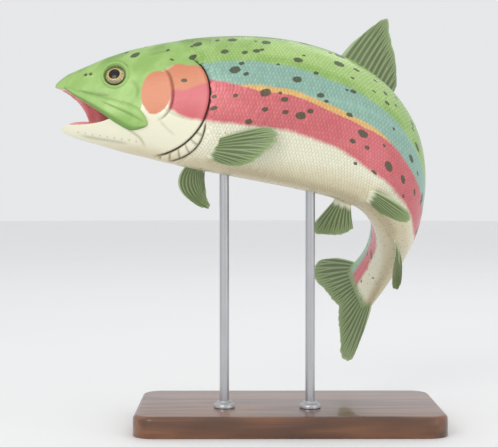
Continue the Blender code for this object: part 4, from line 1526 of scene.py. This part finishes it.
class Fin:
    """Fan of rays standing on a line along the body.

    base: first and last root as (station, across, height) fractions
    frame: station whose body directions the rays are set in
    rays: how many it has, or 0 for the fleshy fin
    rows: share along the base, ray length, lean back, cast (degrees), sweep, droop
    """

    def __init__(self, base, frame, rays, rows):
        self.base = np.array(base, float) * FORK
        self.base[:, 1] *= -1
        self.frame = spine_frame(np.array(frame))
        self.rows = Curve(rows)
        self.rays = rays

    def direction(self, lean, cast):
        rear, left, up = self.frame
        lean, cast = np.radians(lean)[:, None], np.radians(cast)[:, None]
        side = np.cos(cast) * up + np.sin(cast) * left
        return np.sin(lean) * rear + np.cos(lean) * side

    def middle(self, share, out, longer=0.0):
        length, lean, cast, sweep, droop = self.rows(share).T
        root = bend(self.base[0] * (1 - share)[:, None] + self.base[1] * share[:, None])
        near = self.direction(lean, cast)
        far = self.direction(lean + sweep, cast + droop)
        reach = (length * FORK * (1 + longer) + FIN_ROOT)[:, None]
        out = out[:, None]
        return root - near * FIN_ROOT + reach * (near * out + (far - near) * out * out / 2)

    def sheet(self, share, out, longer):
        """Point of the middle sheet and the direction off it."""
        step = 0.004
        low, high = np.maximum(share - step, 0), np.minimum(share + step, 1)
        along = self.middle(high, out) - self.middle(low, out)
        away = self.middle(share, out + step) - self.middle(share, out - step)
        normal = np.cross(along, away)
        normal /= np.linalg.norm(normal, axis=1)[:, None]
        return self.middle(share, out, longer), normal

    def ridge(self, share, out):
        """How near a point is to a ray or to one of the branches it splits into."""
        if not self.rays:
            return 0 * share
        offset = share * self.rays - np.floor(share * self.rays) - 0.5
        first = 0.25 * smooth(out, 0.38, 0.95)
        second = 0.125 * smooth(out, 0.68, 1.05)
        twig = np.abs(np.abs(np.abs(offset) - first) - second)
        width = 0.17 - 0.08 * smooth(out, 0.35, 0.75) - 0.03 * smooth(out, 0.7, 1.0)
        return bell(twig, width)


def tail_lobe(cast):
    """Rows of one half of the tail fin."""
    return [(share, length, lean, cast, sweep, droop) for share, length, lean, sweep, droop in (
        (0.00, 0.052, 36, 16, 4), (0.10, 0.106, 41, 13, 5), (0.24, 0.124, 50, 9, 5),
        (0.60, 0.092, 70, 2, 3), (1.00, 0.068, 90.6, 0, 0))]


FINS = {
    "dorsal_fin": Fin(((0.462, 0, 0.118), (0.566, 0, 0.110)), 0.51, 12, (
        (0.00, 0.042, 13, 10, 6, 2), (0.10, 0.092, 11, 10, 8, 2), (0.22, 0.117, 9, 10, 8, 2),
        (0.45, 0.098, 7, 10, 8, 2), (0.75, 0.066, 5, 10, 6, 2), (1.00, 0.036, 4, 10, 6, 2))),
    "adipose_fin": Fin(((0.775, 0, 0.062), (0.797, 0, 0.058)), 0.79, 0, (
        (0.00, 0.034, 44, 0, 18, 3), (0.45, 0.044, 52, 0, 16, 3), (1.00, 0.034, 68, 0, 8, 3))),
    "anal_fin": Fin(((0.700, 0, -0.089), (0.772, 0, -0.066)), 0.735, 11, (
        (0.00, 0.050, 50, 114, 36, 18), (0.14, 0.094, 52, 118, 40, 20),
        (0.34, 0.102, 60, 128, 34, 16), (0.68, 0.082, 67, 148, 20, 10),
        (1.00, 0.052, 74, 172, 8, 6))),
    "caudal_fin_upper": Fin(
        ((0.918, 0, 0.050), (0.925, 0, 0.0002)), 0.95, 10, tail_lobe(0)),
    "caudal_fin_lower": Fin(
        ((0.918, 0, -0.050), (0.925, 0, -0.0002)), 0.95, 10, tail_lobe(180)),
    "pectoral_fin_left": Fin(((0.272, 0.0525, -0.080), (0.2655, 0.0375, -0.105)), 0.27, 11, (
        (0.00, 0.083, 55, 50, 12, 0), (0.12, 0.110, 57, 56, 12, 0), (0.34, 0.114, 63, 72, 9, 0),
        (0.65, 0.086, 55, 112, 6, 0), (1.00, 0.030, 60, 136, 4, 0))),
    "pectoral_fin_right": Fin(((0.240, -0.0365, -0.102), (0.266, -0.035, -0.1075)), 0.25, 11, (
        (0.00, 0.143, -47, 200, 111, 0), (0.14, 0.145, -39, 202, 109, 0),
        (0.36, 0.116, -27, 204, 89, 0), (0.66, 0.074, -15, 200, 57, 0),
        (1.00, 0.044, -8, 198, 19, 0))),
    "pelvic_fin_left": Fin(((0.562, 0.034, -0.1085), (0.573, 0.0125, -0.1175)), 0.57, 9, (
        (0.00, 0.074, 42, 100, 36, 0), (0.16, 0.083, 47, 116, 20, 0),
        (0.40, 0.077, 52, 122, 13, 0), (0.70, 0.058, 56, 128, 6, 0),
        (1.00, 0.037, 58, 130, 3, 0))),
    "pelvic_fin_right": Fin(((0.553, -0.042, -0.108), (0.569, -0.016, -0.118)), 0.560, 9, (
        (0.00, 0.060, 8, 248, 8, 0), (0.16, 0.077, 11, 245, 10, 0), (0.40, 0.073, 20, 239, 10, 0),
        (0.70, 0.062, 34, 230, 8, 0), (1.00, 0.046, 48, 220, 6, 0))),
}


def fin_placer(name, fin, sizes, rng):
    """Function that sets a slab's points on a rayed, rippled, ragged fin."""
    tail = float(name.startswith("caudal"))
    back = float(name in ("dorsal_fin", "adipose_fin"))
    fleshy = float(name.startswith("pec") or name.startswith("pel"))
    shares = np.linspace(0, 1, 200)
    ragged = np.interp(shares, np.linspace(0, 1, 26), rng.normal(0, 0.012, 26))
    phase = rng.random() * 6.0

    def place(mesh, share, out, side):
        length = fin.rows(share)[:, 0] * FORK
        above = (length + FIN_ROOT) * out - FIN_ROOT
        ridge = fin.ridge(share, out)
        clear = smooth(above, 0.0015, 0.0075)
        uneven = np.interp(share, shares, ragged)
        longer = smooth(out, 0.72, 1.0) * (uneven + 0.009 * (ridge - 0.6))
        middle, normal = fin.sheet(share, out, longer)
        if fin.rays:
            thick = (sizes.membrane + 2 * sizes.ray_height * ridge * clear) * (1 - 0.62 * out)
            thick = thick + 0.0016 * np.exp(-out / 0.07) + fleshy * 0.0034 * bell(above, 0.0042)
            lead = smooth(share, 0.06, 0.015) * 0.0008 * (1 - 0.7 * out)
            thin = 0.45 + 0.55 * np.sqrt(np.clip(1 - np.abs(2 * share - 1) ** 8, 0, 1))
            thick = (thick + lead) * thin
        else:
            rim = np.sqrt(np.clip(1 - out ** 6, 0.04, 1))
            bow = np.sqrt(np.clip(1 - np.abs(2 * share - 1) ** 3, 0, 1))
            thick = FLESHY_FIN * 1.1 * rim * (0.25 + 0.75 * bow)
        wave = 0.0010 * np.sin(share * 9.0 + out * 2.5 + phase) * smooth(out, 0.15, 1.0)
        root = smooth(above + 0.0010 * np.sin(share * 19.0), 0.0080, 0.0020)
        mark(mesh, "ray", np.column_stack([share, out, 0.45 + (ridge - 0.45) * clear]))
        mark(mesh, "root", np.column_stack([root * (1 - tail), 0 * share + back, 0 * share]))
        return middle + normal * (side * thick / 2 + wave)[:, None]

    return place


class TROUT_OT_fins(bpy.types.Operator):
    """Make the fins, with branching rays, thin membranes and ragged edges"""

    bl_idname = "trout.fins"
    bl_label = "Fins"

    def execute(self, context):
        material = fin_material(tints())
        for number, (name, fin) in enumerate(FINS.items()):
            rng = np.random.default_rng(SEED + 30 + number)
            placer = fin_placer(name, fin, context.scene.trout_sizes, rng)
            mesh = slab(name + "_rayed", fin.rays * 16 or 40, 44, placer)
            add_piece(name + "_rayed", mesh, material, (name,))
        return {"FINISHED"}


# ---------------------------------------------------------------- stand and stage

def turned(name, profile, place):
    """Profile of (radius, height) spun round an upright axis."""
    bm = bmesh.new()
    verts = [bm.verts.new((radius, 0.0, height)) for radius, height in profile]
    edges = [bm.edges.new(pair) for pair in zip(verts, verts[1:])]
    bmesh.ops.spin(
        bm, geom=verts + edges, cent=(0, 0, 0), axis=(0, 0, 1), dvec=(0, 0, 0),
        angle=2 * math.pi, steps=48, use_merge=True)
    bmesh.ops.remove_doubles(bm, verts=bm.verts, dist=0.000005)
    bmesh.ops.recalc_face_normals(bm, faces=bm.faces)
    bmesh.ops.translate(bm, vec=(place[0], place[1], 0.0), verts=bm.verts)
    return mesh_of(bm, name)


def middle_of(node):
    low, high = (Vector(corner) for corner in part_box(node))
    return (low + high) / 2, low, high


def rounded(bm, edges, radius, segments):
    bmesh.ops.bevel(
        bm, geom=edges, offset=radius, segments=segments, profile=0.5, affect="EDGES", material=-1)


def board(name):
    """The base's box with round corners, a soft upper rim and a slightly eased foot."""
    centre, low, high = middle_of("stand_base")
    bm = bmesh.new()
    bmesh.ops.create_cube(bm, size=1.0)
    bmesh.ops.scale(bm, vec=high - low, verts=bm.verts)
    bmesh.ops.translate(bm, vec=centre, verts=bm.verts)
    upright = [e for e in bm.edges if abs(e.verts[0].co.z - e.verts[1].co.z) > 0.001]
    rounded(bm, upright, 0.018, 14)
    rim = [e for e in bm.edges if min(v.co.z for v in e.verts) > high.z - 0.001]
    rounded(bm, rim, 0.0040, 6)
    foot = [e for e in bm.edges if max(v.co.z for v in e.verts) < low.z + 0.0005]
    rounded(bm, foot, 0.0008, 2)
    return mesh_of(bm, name)


class TROUT_OT_stand(bpy.types.Operator):
    """Finish the stand: a bevelled walnut base, satin steel rods and turned collars"""

    bl_idname = "trout.stand"
    bl_label = "Stand"

    def execute(self, context):
        tint = tints()
        steel = steel_material(tint)
        add_piece("stand_board", board("stand_board"), wood_material(tint),
                  ("stand_base",), CRISP)
        for end in ("front", "rear"):
            centre, low, high = middle_of("stand_rod_" + end)
            radius = (high.x - low.x) / 2
            name = "stand_rod_round_" + end
            mesh = turned(name, (
                (0.0, low.z), (radius, low.z), (radius, high.z - 0.0008),
                (radius - 0.0008, high.z), (0.0, high.z)), centre)
            add_piece(name, mesh, steel, ("stand_rod_" + end,), CRISP)
            centre, low, high = middle_of("stand_collar_" + end)
            wide = (high.x - low.x) / 2
            bore = radius + 0.0003
            name = "stand_collar_turned_" + end
            mesh = turned(name, (
                (bore, low.z), (wide, low.z), (wide, low.z + 0.0022), (wide - 0.0004, low.z + 0.0030),
                (wide - 0.0016, low.z + 0.0036), (radius + 0.0022, high.z - 0.0012),
                (radius + 0.0016, high.z - 0.0002), (radius + 0.0010, high.z), (bore, high.z),
                (bore, low.z)), centre)
            add_piece(name, mesh, steel, ("stand_collar_" + end,), CRISP)
        return {"FINISHED"}


# name, place, size, power, colour
LIGHTS = (
    ("key_light", (-0.9, -1.7, 1.15), 1.0, 9.6, (1.0, 0.98, 0.95)),
    ("fill_light", (1.6, -1.3, 0.7), 1.4, 3.6, (0.95, 0.98, 1.0)),
    ("back_light", (0.5, 1.3, 2.0), 1.4, 5.0, (1, 1, 1)),
    ("top_light", (-0.1, -0.2, 2.1), 1.4, 1.6, (1, 1, 1)),
)


def aimed(name, data, place, target):
    """Link a lamp or a camera that looks at a point."""
    thing = link(name, data)
    thing.location = place
    thing.rotation_euler = (Vector(target) - Vector(place)).to_track_quat("-Z", "Y").to_euler()
    return thing


class TROUT_OT_stage(bpy.types.Operator):
    """Set the pale floor, the soft lights and the camera"""

    bl_idname = "trout.stage"
    bl_label = "Floor, Lights and Camera"

    def execute(self, context):
        scene = context.scene
        bm = bmesh.new()
        bmesh.ops.create_circle(bm, cap_ends=True, segments=96, radius=7.0)
        mesh = mesh_of(bm, "studio_floor")
        mesh.materials.append(floor_material(tints()))
        link("studio_floor", mesh)

        for name, place, size, power, colour in LIGHTS:
            light = bpy.data.lights.new(name, "AREA")
            light.shape = "DISK"
            light.size = size
            light.energy = power
            light.color = colour
            aimed(name, light, place, (-0.034, -0.02, 0.18))
        world = bpy.data.worlds.new("studio_world")
        world.use_nodes = True
        backdrop = world.node_tree.nodes["Background"]
        backdrop.inputs["Color"].default_value = (0.97, 0.98, 1.0, 1.0)
        backdrop.inputs["Strength"].default_value = 0.82
        scene.world = world

        lens = bpy.data.cameras.new("trout_camera")
        lens.lens = 100.0
        lens.sensor_width = 36.0
        lens.clip_start = 0.01
        scene.camera = aimed(
            "trout_camera", lens, (-0.040, -1.194, 0.206), (-0.034, -0.024, 0.174))
        scene.view_settings.view_transform = "Standard"
        return {"FINISHED"}


class TROUT_PT_panel(bpy.types.Panel):
    """Buttons for the trout's pieces, with their sizes and colours"""

    bl_idname = "TROUT_PT_panel"
    bl_label = "Rainbow Trout"
    bl_space_type = "VIEW_3D"
    bl_region_type = "UI"
    bl_category = "Trout"

    def draw(self, context):
        layout = self.layout
        for operator in OPERATORS:
            layout.operator(operator.bl_idname)
        for group, owner in ((TroutSizes, context.scene.trout_sizes),
                             (TroutColours, context.scene.trout_colours)):
            box = layout.box()
            for name in group.__annotations__:
                box.prop(owner, name)


OPERATORS = (
    TROUT_OT_skin, TROUT_OT_scales, TROUT_OT_jaw_plates, TROUT_OT_mouth, TROUT_OT_eyes,
    TROUT_OT_fins, TROUT_OT_stand, TROUT_OT_stage,
)
CLASSES = (TroutSizes, TroutColours) + OPERATORS + (TROUT_PT_panel,)


def register():
    for cls in CLASSES:
        bpy.utils.register_class(cls)
    bpy.types.Scene.trout_sizes = PointerProperty(type=TroutSizes)
    bpy.types.Scene.trout_colours = PointerProperty(type=TroutColours)


def unregister():
    del bpy.types.Scene.trout_colours
    del bpy.types.Scene.trout_sizes
    for cls in reversed(CLASSES):
        bpy.utils.unregister_class(cls)


def main():
    register()
    bpy.ops.trout.skin()
    bpy.ops.trout.scales()
    bpy.ops.trout.jaw_plates()
    bpy.ops.trout.mouth()
    bpy.ops.trout.eyes()
    bpy.ops.trout.fins()
    bpy.ops.trout.stand()
    bpy.ops.trout.stage()


if __name__ == "__main__":
    main()
